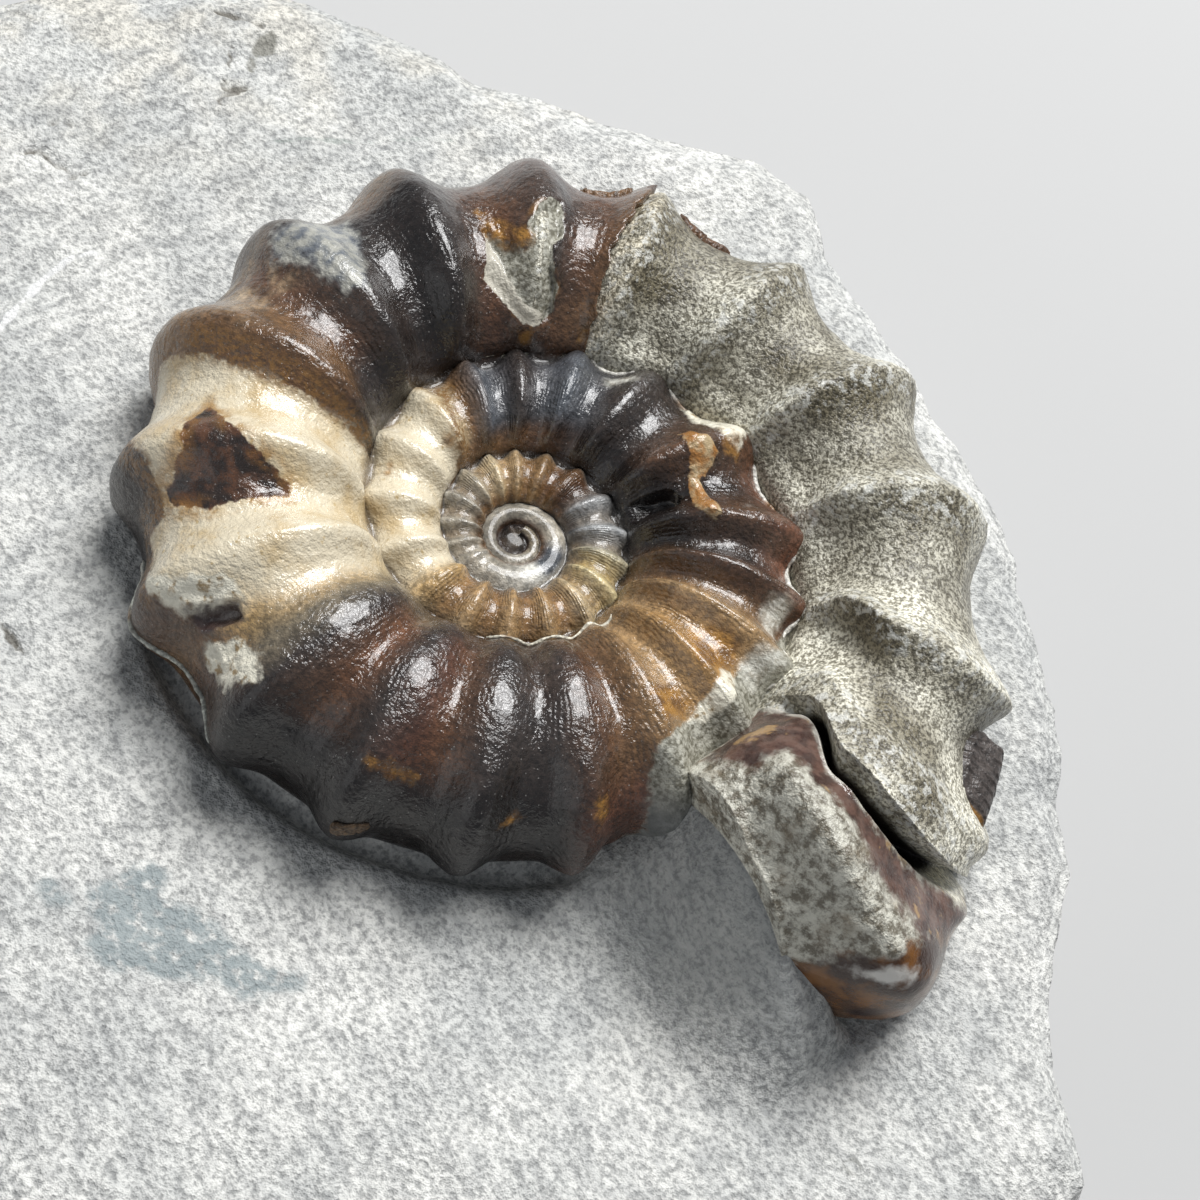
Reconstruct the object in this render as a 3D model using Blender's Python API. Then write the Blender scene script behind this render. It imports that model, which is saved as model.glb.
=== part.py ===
"""Ribbed coiled fossil shell resting in a loose slab of pale rock. Units are metres, +Z is up."""

import bpy
import bmesh
import math
from mathutils import Vector, noise

MM = 0.001

# Coil: radius of the outer edge at every quarter turn, growing clockwise seen from above
VENTER_RADII_MM = (
    1.85, 2.2, 2.6, 3.1, 3.75, 4.6, 5.6, 6.9, 7.9,
    9.3, 11.05, 14.4, 19.9, 23.1, 25.9, 29.5, 33.1, 40.8,
)
FIRST_TURN = -1.0
COIL_START = -0.5
COIL_END = 3.187
HEADING_DEG = 29.8
HALF_WIDTH = 0.285
CREST_PLACE = 0.47
SEAM_DEG = 51.0
EARLY_SEAM = 0.83
UNDERSIDE_MM = -5.6

# Ribs: one every RIB_PITCH of a turn, with a crest at RIB_CREST
RIB_PITCH = 0.0592
RIB_CREST = 3.004
RIB_SHARPNESS = 1.6
RIB_HEIGHT_EARLY = 0.058
RIB_HEIGHT_LATE = 0.052

# Shell is lost from this turn onwards, and the filling inside shows
SHELL_LOST_TURN = 2.826
SHELL_MM = 0.7

# Mouth: a deep slot, then a ridge with a flared lip that falls to the rock
SLOT_TURN = 3.1455
SLOT_DEPTH_MM = 4.6
SLOT_WIDTH = 0.0028
LIP_TURN = 3.168
LIP_FLARE_MM = 4.4
LIP_WIDTH = 0.014
MOUTH_FALL_MM = 3.4

# Rows across the coil, closer together near the slot, and columns round its section
ROWS_PER_TURN = 112
ROW_GATHER = 0.48
ROW_GATHER_REACH = 0.08
FLANK_COLUMNS = 5
OUTER_COLUMNS = 10

# Rock: rim radius in mm at each bearing from the coil's middle
RIM = (
    (-172, 45), (-160, 43), (-150, 42), (-135, 43.5), (-122, 48), (-110, 54), (-100, 58.5),
    (-90, 56.5), (-75, 53.5), (-60, 51.5), (-48, 52.5), (-38, 55), (-30, 57), (-22.6, 57.5),
    (-17.7, 50.8), (-9.3, 46.6), (-1, 45.4), (6.4, 43), (16.3, 41.6), (26.8, 39.8), (37.2, 39.4),
    (50.4, 38), (61.7, 39.6), (74.6, 42), (80.6, 45.8), (87.2, 47), (93, 44.8), (103, 44),
    (116, 45.6), (132, 53.4), (146.8, 58), (155.4, 60), (163, 57), (176, 49),
)
ROCK_LEVEL_MM = -4.3
ROCK_BASE_MM = -28.0
ROCK_BEARINGS = 82
SEAT_GAP_MM = 0.3

# Hollow and rise of the upper face: x, y, spread and height in mm
HOLLOW_MM = (19.0, -23.0, 6.5, -1.7)
RISE_MM = (25.0, 24.0, 14.1, 1.5)

# Bank of rock against the mouth: crest radius, height, spread of the crest and reach in mm
BANK_MM = (28.5, 5.2, 4.0, 6.6)

# Sides of the slab, from the rim down: share of the rim radius, height in mm, roughness in mm
ROCK_SIDES = ((1.0, -6.6, 0.5), (1.012, -11.0, 0.9), (1.0, -17.0, 1.1), (0.985, -23.0, 0.8), (0.962, -28.0, 0.3))
ROCK_RINGS = (0.2, 0.38, 0.52, 0.64, 0.74, 0.82, 0.885, 0.93, 0.965, 0.988)


def spline(values, place):
    """Smooth curve through evenly spaced values."""
    last = len(values) - 1
    index = min(max(int(math.floor(place)), 0), last - 1)
    part = place - index
    b = values[index]
    c = values[index + 1]
    a = values[index - 1] if index > 0 else 2 * b - c
    d = values[index + 2] if index + 2 <= last else 2 * c - b
    slope = c - a
    bend = 2 * a - 5 * b + 4 * c - d
    twist = 3 * b - 3 * c + d - a
    return 0.5 * (2 * b + slope * part + bend * part ** 2 + twist * part ** 3)


VENTER_LOGS = [math.log(radius) for radius in VENTER_RADII_MM]


def venter(turn):
    """Radius of the outer edge."""
    place = max((turn - FIRST_TURN) * 4, -2.4)
    return math.exp(spline(VENTER_LOGS, place))


def smooth(value):
    value = min(max(value, 0.0), 1.0)
    return value * value * (3 - 2 * value)


def whorl(turn):
    """Inner seam, crest radius, half width and outer radius of one cross-section."""
    outer = venter(turn)
    seam_radius, seam_height = seam(turn - 1)
    crest = seam_radius + CREST_PLACE * (outer - seam_radius)
    return seam_radius, seam_height, crest, HALF_WIDTH * outer, outer


def seam(turn):
    """Where the next turn covers this one: radius and height above the coil's plane."""
    early = EARLY_SEAM * venter(max(turn, -1.0))
    if turn < -1:
        early *= math.exp((turn + 1) * 0.65)
    if turn < -0.6:
        return early, 0.14 * early
    _, _, crest, half, outer = whorl(turn)
    late = crest + (outer - crest) * math.sin(math.radians(SEAM_DEG))
    height = half * math.cos(math.radians(SEAM_DEG))
    share = smooth((turn + 0.6) / 0.8)
    return early + (late - early) * share, 0.14 * early + (height - 0.14 * early) * share


def rib(turn):
    """1 on a rib's crest and 0 between ribs."""
    phase = (turn - RIB_CREST) / RIB_PITCH
    return ((1 + math.cos(2 * math.pi * phase)) / 2) ** RIB_SHARPNESS


def relief(turn, angle, outer):
    """How far the surface stands off the plain whorl, in mm."""
    strength = 0.3 + 0.7 * smooth((angle + 72) / 45) + 0.25 * smooth((angle - 10) / 50)
    late = smooth((turn - 2.45) / 0.3)
    height = (RIB_HEIGHT_EARLY + (RIB_HEIGHT_LATE - RIB_HEIGHT_EARLY) * late) * outer
    if turn < SLOT_TURN - 0.02:
        stand = height * strength * (rib(turn) - 0.4)
    else:
        stand = -0.2 * height * strength
    fade = smooth((angle + 78) / 30)
    if turn > SHELL_LOST_TURN:
        stand -= SHELL_MM * fade * smooth((turn - SHELL_LOST_TURN) / 0.004)
    gap = (turn - SLOT_TURN) / SLOT_WIDTH
    slot_fade = smooth((angle + 62) / 30) * (1 - 0.6 * smooth((angle - 75) / 40))
    stand -= SLOT_DEPTH_MM * slot_fade * math.exp(-gap * gap)
    lip = (turn - LIP_TURN) / LIP_WIDTH
    lip_side = 0.3 * fade + 0.7 * smooth((angle - 35) / 40)
    stand += LIP_FLARE_MM * lip_side * math.exp(-lip * lip)
    fall = smooth((turn - LIP_TURN) / 0.018)
    stand -= MOUTH_FALL_MM * fall * smooth((angle + 55) / 50)
    return stand


def lean(turn, angle):
    """How far the ribs, the slot and the rows lean back near the mouth, in turns."""
    near = smooth((turn - SLOT_TURN + 0.16) / 0.14) * (1 - smooth((turn - SLOT_TURN - 0.006) / 0.034))
    outside = 0.026 * (min(max(angle - 10, 0), 95) / 80) ** 2
    inside = 0.014 * smooth((-8 - angle) / 38)
    return near * (outside + inside)


def section_point(turn, angle, extra):
    """Point of the whorl's cross-section; angle is 0 at the crest and 90 at the outer edge."""
    seam_radius, seam_height, crest, half, outer = whorl(turn)
    start = -math.degrees(math.acos(min(seam_height / half, 1.0)))
    angle = max(angle, start)
    turned = math.radians(angle)
    if angle < 0:
        reach = (crest - seam_radius) / math.sin(math.radians(-start))
    else:
        reach = outer - crest
    across = math.sin(turned) * half
    up = math.cos(turned) * reach
    size = math.hypot(across, up)
    under = 1 - smooth((angle - 100) / 28)
    stand = relief(turn, angle, outer) * smooth((angle - start) / 20) * under + extra
    radius = crest + reach * math.sin(turned) + stand * across / size
    height = half * math.cos(turned) + stand * up / size
    return radius, height


def turn_of(row):
    """Growth position of a row; rows gather round the slot."""
    share = row / ROWS_PER_TURN
    away = share - SLOT_TURN
    away -= round(away)
    return share - ROW_GATHER * away * math.exp(-(away / ROW_GATHER_REACH) ** 2)


def place_point(turn, radius, height):
    bearing = math.radians(HEADING_DEG) - 2 * math.pi * turn
    return Vector((radius * math.cos(bearing), radius * math.sin(bearing), height))


def row_near(turn):
    row = int(math.floor(turn * ROWS_PER_TURN))
    return min(range(row - 12, row + 13), key=lambda k: abs(turn_of(k) - turn))


def coil_mesh(name, extra):
    """The coiled shell as one closed skin; extra grows it outwards for the seat in the rock."""
    first = row_near(COIL_START)
    last = row_near(COIL_END)
    open_row = last - ROWS_PER_TURN
    mesh = bmesh.new()
    rows = {}
    for row in range(first, last + 1):
        turn = turn_of(row)
        if row in (open_row, last):
            turn += extra / (2 * math.pi * venter(turn))
        _, seam_height, _, half, _ = whorl(turn)
        start = -math.degrees(math.acos(min(seam_height / half, 1.0)))
        line = []
        for column in range(FLANK_COLUMNS + 1):
            shared = row - ROWS_PER_TURN
            if column == 0 and shared >= first:
                line.append(rows[shared][FLANK_COLUMNS])
                continue
            angle = start + (SEAM_DEG - start) * column / FLANK_COLUMNS
            radius, height = section_point(turn, angle, extra)
            line.append(mesh.verts.new(place_point(turn - lean(turn, angle), radius, height)))
        if row >= open_row:
            end = math.degrees(math.acos(max((UNDERSIDE_MM - extra) / half, -0.985)))
            for column in range(1, OUTER_COLUMNS + 1):
                angle = SEAM_DEG + (end - SEAM_DEG) * column / OUTER_COLUMNS
                radius, height = section_point(turn, angle, extra)
                height = max(height, UNDERSIDE_MM - extra)
                if column == OUTER_COLUMNS:
                    height = UNDERSIDE_MM - extra
                line.append(mesh.verts.new(place_point(turn - lean(turn, angle), radius, height)))
        rows[row] = line
    for row in range(first, last):
        count = min(len(rows[row]), len(rows[row + 1]))
        if row < open_row:
            count = FLANK_COLUMNS + 1
        for column in range(count - 1):
            near = rows[row]
            far = rows[row + 1]
            mesh.faces.new((near[column], near[column + 1], far[column + 1], far[column]))
    close_middle(mesh, rows, first)
    mouth = rows[last] + rows[open_row][:FLANK_COLUMNS:-1]
    mesh.faces.new(mouth)
    mesh.faces.new([rows[row][-1] for row in range(open_row, last + 1)])
    return finish_mesh(name, mesh)


def close_middle(mesh, rows, first):
    """A small cap over the first turn."""
    loop = [rows[row][0] for row in range(first, first + ROWS_PER_TURN)]
    loop += rows[first][:0:-1]
    middle = Vector((0, 0, 0))
    for vert in loop:
        middle += vert.co / len(loop)
    top = mesh.verts.new(middle + Vector((0, 0, 0.15)))
    for near, far in zip(loop, loop[1:] + loop[:1]):
        mesh.faces.new((near, far, top))


def finish_mesh(name, mesh):
    """Scales to metres, turns faces outwards and makes the object."""
    mesh.normal_update()
    bmesh.ops.triangulate(mesh, faces=mesh.faces, quad_method="FIXED")
    bmesh.ops.scale(mesh, vec=(MM, MM, MM), verts=mesh.verts)
    bmesh.ops.recalc_face_normals(mesh, faces=mesh.faces)
    data = bpy.data.meshes.new(name)
    mesh.to_mesh(data)
    mesh.free()
    return bpy.data.objects.new(name, data)


def rim_radius(bearing):
    """Rim of the slab, in straight breaks between the measured bearings."""
    points = list(RIM) + [(RIM[0][0] + 360, RIM[0][1])]
    if bearing < points[0][0]:
        bearing += 360
    for (low, near), (high, far) in zip(points, points[1:]):
        if low <= bearing <= high:
            share = (bearing - low) / (high - low)
            return near + (far - near) * share
    return points[0][1]


def rock_level(x, y, share):
    """Height of the slab's upper face."""
    place = Vector((x, y, 0))
    level = ROCK_LEVEL_MM + 0.9 * noise.noise(place / 21) + 0.35 * noise.noise(place / 7)
    level += 1.2 * smooth((math.hypot(x, y) - 30) / 30) * smooth((y - x) / 60)
    for middle_x, middle_y, spread, height in (HOLLOW_MM, RISE_MM):
        away = ((x - middle_x) ** 2 + (y - middle_y) ** 2) / (2 * spread ** 2)
        level += height * math.exp(-away)
    worn_edge = smooth((share - 0.86) / 0.13)
    return bank_level(x, y, level - 1.5 * worn_edge ** 2)


def bank_level(x, y, level):
    """Adds the bank, which falls from the mouth to the slab in a hollow curve."""
    crest, height, spread, reach = BANK_MM
    radius = math.hypot(x, y)
    turn = (HEADING_DEG - math.degrees(math.atan2(y, x))) / 360
    ahead = (turn - math.floor(turn)) - (COIL_END - math.floor(COIL_END))
    top = height - ((radius - crest) / spread) ** 2
    away = max(ahead * 2 * math.pi * radius / reach, 0.0)
    if away > 1 or top < level:
        return level
    within = smooth((ahead + 0.022) / 0.012)
    return level + (top - level) * within * (1 - away) ** 1.7


def rock_mesh(name):
    """The slab: an uneven upper face, broken sides and a flat underside."""
    mesh = bmesh.new()
    middle = mesh.verts.new((0, 0, rock_level(0, 0, 0)))
    bearings = [-180 + 360 * step / ROCK_BEARINGS for step in range(ROCK_BEARINGS)]
    rings = []
    for share in ROCK_RINGS:
        ring = []
        for bearing in bearings:
            reach = rim_radius(bearing) * share
            x = reach * math.cos(math.radians(bearing))
            y = reach * math.sin(math.radians(bearing))
            ring.append(mesh.verts.new((x, y, rock_level(x, y, share))))
        rings.append(ring)
    for share, height, rough in ROCK_SIDES:
        ring = []
        for bearing in bearings:
            facing = Vector((math.cos(math.radians(bearing)), math.sin(math.radians(bearing)), 0))
            seed = facing * 6.5 + Vector((0, 0, height / 5))
            shift = rough * (noise.noise(seed) + 0.6 * noise.noise(seed * 2.7))
            spot = facing * (rim_radius(bearing) * share + 1.6 * shift)
            if height > ROCK_BASE_MM:
                height_here = height + 0.8 * noise.noise(seed * 1.7 + Vector((9, 0, 0)))
            else:
                height_here = ROCK_BASE_MM
            ring.append(mesh.verts.new((spot.x, spot.y, height_here)))
        rings.append(ring)
    for step in range(ROCK_BEARINGS):
        after = (step + 1) % ROCK_BEARINGS
        mesh.faces.new((middle, rings[0][step], rings[0][after]))
        for inner, outer in zip(rings, rings[1:]):
            mesh.faces.new((inner[step], outer[step], outer[after], inner[after]))
    mesh.faces.new(rings[-1])
    return finish_mesh(name, mesh)


def material(name, colour, roughness):
    made = bpy.data.materials.new(name)
    made.use_nodes = True
    shader = made.node_tree.nodes["Principled BSDF"]
    shader.inputs["Base Color"].default_value = (*colour, 1)
    shader.inputs["Roughness"].default_value = roughness
    shader.inputs["Metallic"].default_value = 0.0
    return made


def main():
    for old in list(bpy.data.objects):
        bpy.data.objects.remove(old)

    model = bpy.data.collections.new("fossil_androgynoceras_ammonite")
    cutters = bpy.data.collections.new("cutters")
    bpy.context.scene.collection.children.link(model)
    bpy.context.scene.collection.children.link(cutters)

    ammonite = coil_mesh("ammonite", 0.0)
    rock = rock_mesh("matrix_rock")
    seat = coil_mesh("seat_cutter", SEAT_GAP_MM)
    ammonite.data.materials.append(material("fossil_shell", (0.16, 0.10, 0.06), 0.28))
    rock.data.materials.append(material("pale_rock", (0.52, 0.51, 0.48), 0.9))
    model.objects.link(ammonite)
    model.objects.link(rock)
    cutters.objects.link(seat)
    seat.hide_render = True
    seat.display_type = "WIRE"

    cut = rock.modifiers.new("seat", "BOOLEAN")
    cut.operation = "DIFFERENCE"
    cut.solver = "EXACT"
    cut.object = seat

    # The origin is the middle of the underside
    corners = [vert.co for vert in rock.data.vertices]
    low = [min(corner[axis] for corner in corners) for axis in range(3)]
    high = [max(corner[axis] for corner in corners) for axis in range(3)]
    shift = Vector((-(low[0] + high[0]) / 2, -(low[1] + high[1]) / 2, -low[2]))
    base = bpy.data.objects.new("specimen", None)
    model.objects.link(base)
    for piece in (ammonite, rock, seat):
        piece.parent = base
        piece.location = shift


main()
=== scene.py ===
"""The looks of a ribbed ammonite in its slab of rock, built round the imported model.

Shapes are worked out in millimetres from the middle of the coil, and make_piece turns them
into metres in the frame. A place on the shell is a turn, counted from the middle of the coil
outwards, and an angle round the cross-section, 0 on the flank's crest and 90 on the outer edge.
"""

import itertools
import math

import bpy
import bmesh
import numpy as np
from mathutils import Matrix, Vector


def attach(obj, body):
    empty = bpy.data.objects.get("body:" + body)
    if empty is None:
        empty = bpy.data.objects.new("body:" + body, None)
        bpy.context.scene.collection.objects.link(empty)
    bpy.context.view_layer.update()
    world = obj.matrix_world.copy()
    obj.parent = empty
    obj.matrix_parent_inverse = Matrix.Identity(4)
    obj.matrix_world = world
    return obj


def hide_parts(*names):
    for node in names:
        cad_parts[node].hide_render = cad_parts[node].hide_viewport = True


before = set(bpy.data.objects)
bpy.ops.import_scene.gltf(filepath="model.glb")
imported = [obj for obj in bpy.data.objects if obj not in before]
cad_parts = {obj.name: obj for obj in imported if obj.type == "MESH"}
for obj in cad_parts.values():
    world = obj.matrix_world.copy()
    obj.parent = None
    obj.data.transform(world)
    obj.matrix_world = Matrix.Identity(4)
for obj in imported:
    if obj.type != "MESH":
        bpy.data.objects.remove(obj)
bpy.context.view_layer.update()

MM = 0.001
TAU = 2 * math.pi

# Coil, with the model's own driving sizes
COIL_MIDDLE_MM = (1.3963, 6.1508, 28.0)
VENTER_RADII_MM = (
    1.85, 2.2, 2.6, 3.1, 3.75, 4.6, 5.6, 6.9, 7.9,
    9.3, 11.05, 14.4, 19.9, 23.1, 25.9, 29.5, 33.1, 40.8,
)
RADII_PER_TURN = 4
FIRST_TURN = -1.0
HEADING_DEG = 29.8
HALF_WIDTH = 0.285
CREST_PLACE = 0.47
SEAM_DEG = 51.0
UNDERSIDE_MM = -5.6

# Before this turn the seam is a plain spiral, at shares of the outer radius
EARLY_TURN = -0.6
EARLY_SEAM = 0.83
EARLY_RISE = 0.14
EARLY_GROWTH = 0.65

# Rib crests, in turns, along the middle of the flank; before them ribs come every EARLY_PITCH
RIB_CRESTS = (
    0.30, 0.36, 0.415, 0.47, 0.525, 0.59, 0.65, 0.71, 0.76, 0.815, 0.875, 0.94, 1.005, 1.06, 1.115,
    1.17, 1.23, 1.285, 1.34, 1.40, 1.465, 1.53, 1.60, 1.66, 1.715, 1.76, 1.81, 1.865, 1.94, 2.015,
    2.06, 2.10, 2.145, 2.19, 2.238, 2.29, 2.344, 2.40, 2.463, 2.526, 2.59, 2.651, 2.71, 2.768,
    2.822, 2.884, 2.944, 3.004, 3.078, 3.128,
)
EARLY_PITCH = 0.058

# Broken end of the shell, slot and ridge of the mouth
SHELL_END = 2.8135
SHELL_MM = 0.7
SLOT_TURN = 3.1455
SLOT_DEPTH_MM = 5.2
SLOT_WIDTH = 0.0022
LIP_TURN = 3.168
LIP_FLARE_MM = 4.4
LIP_WIDTH = 0.014
MOUTH_FALL_MM = 3.4
COIL_END = 3.187

# Rock: rim radius in mm at each bearing from the coil's middle
RIM = (
    (-172, 45), (-160, 43), (-150, 42), (-135, 43.5), (-122, 48), (-110, 54), (-100, 58.5),
    (-90, 56.5), (-75, 53.5), (-60, 51.5), (-48, 52.5), (-38, 55), (-30, 57), (-22.6, 57.5),
    (-17.7, 50.8), (-9.3, 46.6), (-1, 45.4), (6.4, 43), (16.3, 41.6), (26.8, 39.8), (37.2, 39.4),
    (50.4, 38), (61.7, 39.6), (74.6, 42), (80.6, 45.8), (87.2, 47), (93, 44.8), (103, 44),
    (116, 45.6), (132, 53.4), (146.8, 58), (155.4, 60), (163, 57), (176, 49),
)
ROCK_LEVEL_MM = -4.3
ROCK_BASE_MM = -28.0

# Swells of the upper face: middle, spread and height; the bank: crest radius, height, spread, reach
SWELLS_MM = ((19.0, -23.0, 6.5, -1.7), (25.0, 24.0, 14.1, 1.5))
BANK_MM = (28.5, 5.2, 4.0, 6.6)

# Camera of the photograph: it looks down on the slab and is rolled
CAMERA_TARGET_MM = (6.99, -1.06, 0.0)
CAMERA_DISTANCE_MM = 164.14
CAMERA_ELEVATION_DEG = 57.71
CAMERA_ROLL_DEG = 26.19
CAMERA_VIEW_DEG = 28.0


# Small maths

CELL_PRIMES = (73856093, 19349663, 83492791)
SEED_PRIME = 668265263
MIXER = 0x45D9F3B
LOW_BITS = 0xFFFFFFFF
NOISE_GAIN = 1.3
OCTAVE_STEP = 2.13
OCTAVE_SHIFT = 7.3
TINY = 1e-9


def smooth(value):
    """Eased step: 0 up to 0, 1 from 1 on."""
    value = np.clip(value, 0.0, 1.0)
    return value * value * (3 - 2 * value)


def ramp(value, start, end):
    """Eased step from 0 at start to 1 at end, which may also be the lower of the two."""
    return smooth((value - start) / (end - start))


def bell(value, middle, width):
    """1 at the middle, fading to 0 over about twice the width."""
    return np.exp(-((value - middle) / width) ** 2)


def slopes(cells, seed):
    """Three repeatable numbers from -1 to 1 for each whole-number cell."""
    scaled = cells * np.array(CELL_PRIMES)
    mixed = (scaled[..., 0] ^ scaled[..., 1] ^ scaled[..., 2] ^ seed * SEED_PRIME) & LOW_BITS
    for _ in range(2):
        mixed = ((mixed ^ (mixed >> 16)) * MIXER) & LOW_BITS
    mixed ^= mixed >> 16
    return np.stack([(mixed >> shift & 1023) / 511.5 - 1 for shift in (0, 10, 20)], axis=-1)


def noise(points, seed=0):
    """Smooth noise from about -1 to 1 at each point."""
    base = np.floor(points).astype(np.int64)
    part = points - base
    ease = part ** 3 * (part * (part * 6 - 15) + 10)
    total = np.zeros(points.shape[:-1])
    for corner in itertools.product((0, 1), repeat=3):
        value = ((part - np.array(corner)) * slopes(base + np.array(corner), seed)).sum(axis=-1)
        total += np.where(np.array(corner) == 1, ease, 1 - ease).prod(axis=-1) * value
    return total * NOISE_GAIN


def rough_noise(points, size, octaves, seed):
    """Noise of several sizes, the largest of them size millimetres."""
    total = 0.0
    for octave in range(octaves):
        shifted = points / (size / OCTAVE_STEP ** octave) + OCTAVE_SHIFT * octave
        total = total + 0.5 ** octave * noise(shifted, seed + octave)
    return total


def spline(values, place):
    """Smooth curve through evenly spaced values."""
    values = np.asarray(values, float)
    last = len(values) - 1
    index = np.clip(np.floor(place).astype(int), 0, last - 1)
    part = place - index
    b = values[index]
    c = values[index + 1]
    a = np.where(index > 0, values[np.maximum(index - 1, 0)], 2 * b - c)
    d = np.where(index + 2 <= last, values[np.minimum(index + 2, last)], 2 * c - b)
    bend = 2 * a - 5 * b + 4 * c - d
    twist = 3 * b - 3 * c + d - a
    return 0.5 * (2 * b + (c - a) * part + bend * part ** 2 + twist * part ** 3)


def line_distance(x, y, corners):
    """Distance to a line through the corners."""
    nearest = np.full(np.shape(x), np.inf)
    for (ax, ay), (bx, by) in zip(corners, corners[1:]):
        along_x = bx - ax
        along_y = by - ay
        share = ((x - ax) * along_x + (y - ay) * along_y) / (along_x ** 2 + along_y ** 2)
        share = np.clip(share, 0, 1)
        nearest = np.minimum(nearest, np.hypot(x - ax - share * along_x, y - ay - share * along_y))
    return nearest


def outline_depth(x, y, corners):
    """How far inside an outline each point lies; outside it is negative."""
    closed = corners + corners[:1]
    inside = np.zeros(np.shape(x), bool)
    for (ax, ay), (bx, by) in zip(closed, closed[1:]):
        slope = (bx - ax) / ((by - ay) or TINY)
        inside ^= ((ay > y) != (by > y)) & (x < ax + (y - ay) * slope)
    nearest = line_distance(x, y, closed)
    return np.where(inside, nearest, -nearest)


# The coil's plain form

LOWEST_PLACE = -2.4
UNDER_SEAM_DEG = 30
STEEPEST = -0.985
ACROSS_PER_DEG = math.radians(1) * 1.1


def venter(turn):
    """Radius of the outer edge."""
    place = np.maximum((np.asarray(turn, float) - FIRST_TURN) * RADII_PER_TURN, LOWEST_PLACE)
    return np.exp(spline(np.log(VENTER_RADII_MM), place))


def seam(turn):
    """Where the next turn covers this one: radius and height above the coil's plane."""
    turn = np.asarray(turn, float)
    growth = np.exp(np.minimum(turn - FIRST_TURN, 0) * EARLY_GROWTH)
    early = EARLY_SEAM * venter(np.maximum(turn, FIRST_TURN)) * growth
    early_height = EARLY_RISE * early
    if np.all(turn < EARLY_TURN):
        return early, early_height
    _, _, crest, half, outer = whorl(np.maximum(turn, EARLY_TURN))
    late = crest + (outer - crest) * math.sin(math.radians(SEAM_DEG))
    late_height = half * math.cos(math.radians(SEAM_DEG))
    share = ramp(turn, EARLY_TURN, 0.2)
    return early + (late - early) * share, early_height + (late_height - early_height) * share


def whorl(turn):
    """Inner seam, crest radius, half width and outer radius of one cross-section."""
    outer = venter(turn)
    seam_radius, seam_height = seam(np.asarray(turn, float) - 1)
    crest = seam_radius + CREST_PLACE * (outer - seam_radius)
    return seam_radius, seam_height, crest, HALF_WIDTH * outer, outer


def start_angle(turn):
    """Angle of the inner seam."""
    _, seam_height, _, half, _ = whorl(turn)
    return -np.degrees(np.arccos(np.minimum(seam_height / half, 1.0)))


def end_angle(turn):
    """Angle at which the cross-section meets the underside."""
    return np.degrees(np.arccos(np.maximum(UNDERSIDE_MM / (HALF_WIDTH * venter(turn)), STEEPEST)))


def coil_point(turn, angle, stand, lean=0.0):
    """Points of the coil, standing off the plain whorl by stand millimetres."""
    seam_radius, _, crest, half, outer = whorl(turn)
    start = start_angle(turn)
    turned = np.radians(np.maximum(angle, start - UNDER_SEAM_DEG))
    reach = np.where(angle < 0, (crest - seam_radius) / np.sin(np.radians(-start)), outer - crest)
    across = np.sin(turned) * half
    up = np.cos(turned) * reach
    size = np.hypot(across, up)
    radius = crest + reach * np.sin(turned) + stand * across / size
    height = np.maximum(half * np.cos(turned) + stand * up / size, UNDERSIDE_MM)
    bearing = math.radians(HEADING_DEG) - TAU * (turn - lean)
    return np.stack([radius * np.cos(bearing), radius * np.sin(bearing), height], axis=-1)


def flat_place(turn, angle, middle):
    """Millimetres along and across the coil's surface, near the middle turn."""
    _, _, crest, half, _ = whorl(middle)
    return turn * TAU * float(crest), angle * ACROSS_PER_DEG * float(half)


def mark_depth(turn, angle, shapes):
    """How far inside any shape, in mm: an outline of turns and angles, or a turn, angle and radius."""
    depths = []
    for shape in shapes:
        if isinstance(shape, list):
            middle = sum(corner[0] for corner in shape) / len(shape)
            corners = [flat_place(*corner, middle) for corner in shape]
            depths.append(outline_depth(*flat_place(turn, angle, middle), corners))
        else:
            along, across = flat_place(turn - shape[0], angle - shape[1], shape[0])
            depths.append(shape[2] - np.hypot(along, across))
    return np.maximum.reduce(depths)


# Relief of the shell

RIB_HEIGHT = 0.060
RIB_HOLLOW = 0.4
DEPTH_LIMIT_MM = 4


def rib_phase(turn):
    """Counts ribs: a whole number on each crest."""
    phase = np.interp(turn, RIB_CRESTS, np.arange(len(RIB_CRESTS)))
    return np.where(turn < RIB_CRESTS[0], (turn - RIB_CRESTS[0]) / EARLY_PITCH, phase)


def rib_wave(turn, sharpness):
    """1 on a rib's crest and 0 between ribs."""
    return ((1 + np.cos(TAU * rib_phase(turn))) / 2) ** sharpness


def rib_strength(angle):
    """Ribs are low at the inner seam and highest on the outer side."""
    return 0.3 + 0.7 * ramp(angle, -72, -27) + 0.25 * ramp(angle, 10, 60)


def seam_fade(turn, angle):
    """0 at the inner seam and 1 on the flank."""
    return smooth((angle - start_angle(turn)) / 16)


def under_fade(angle):
    """1 above and 0 on the hidden side under the outer edge."""
    return 1 - ramp(angle, 102, 126)


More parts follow.
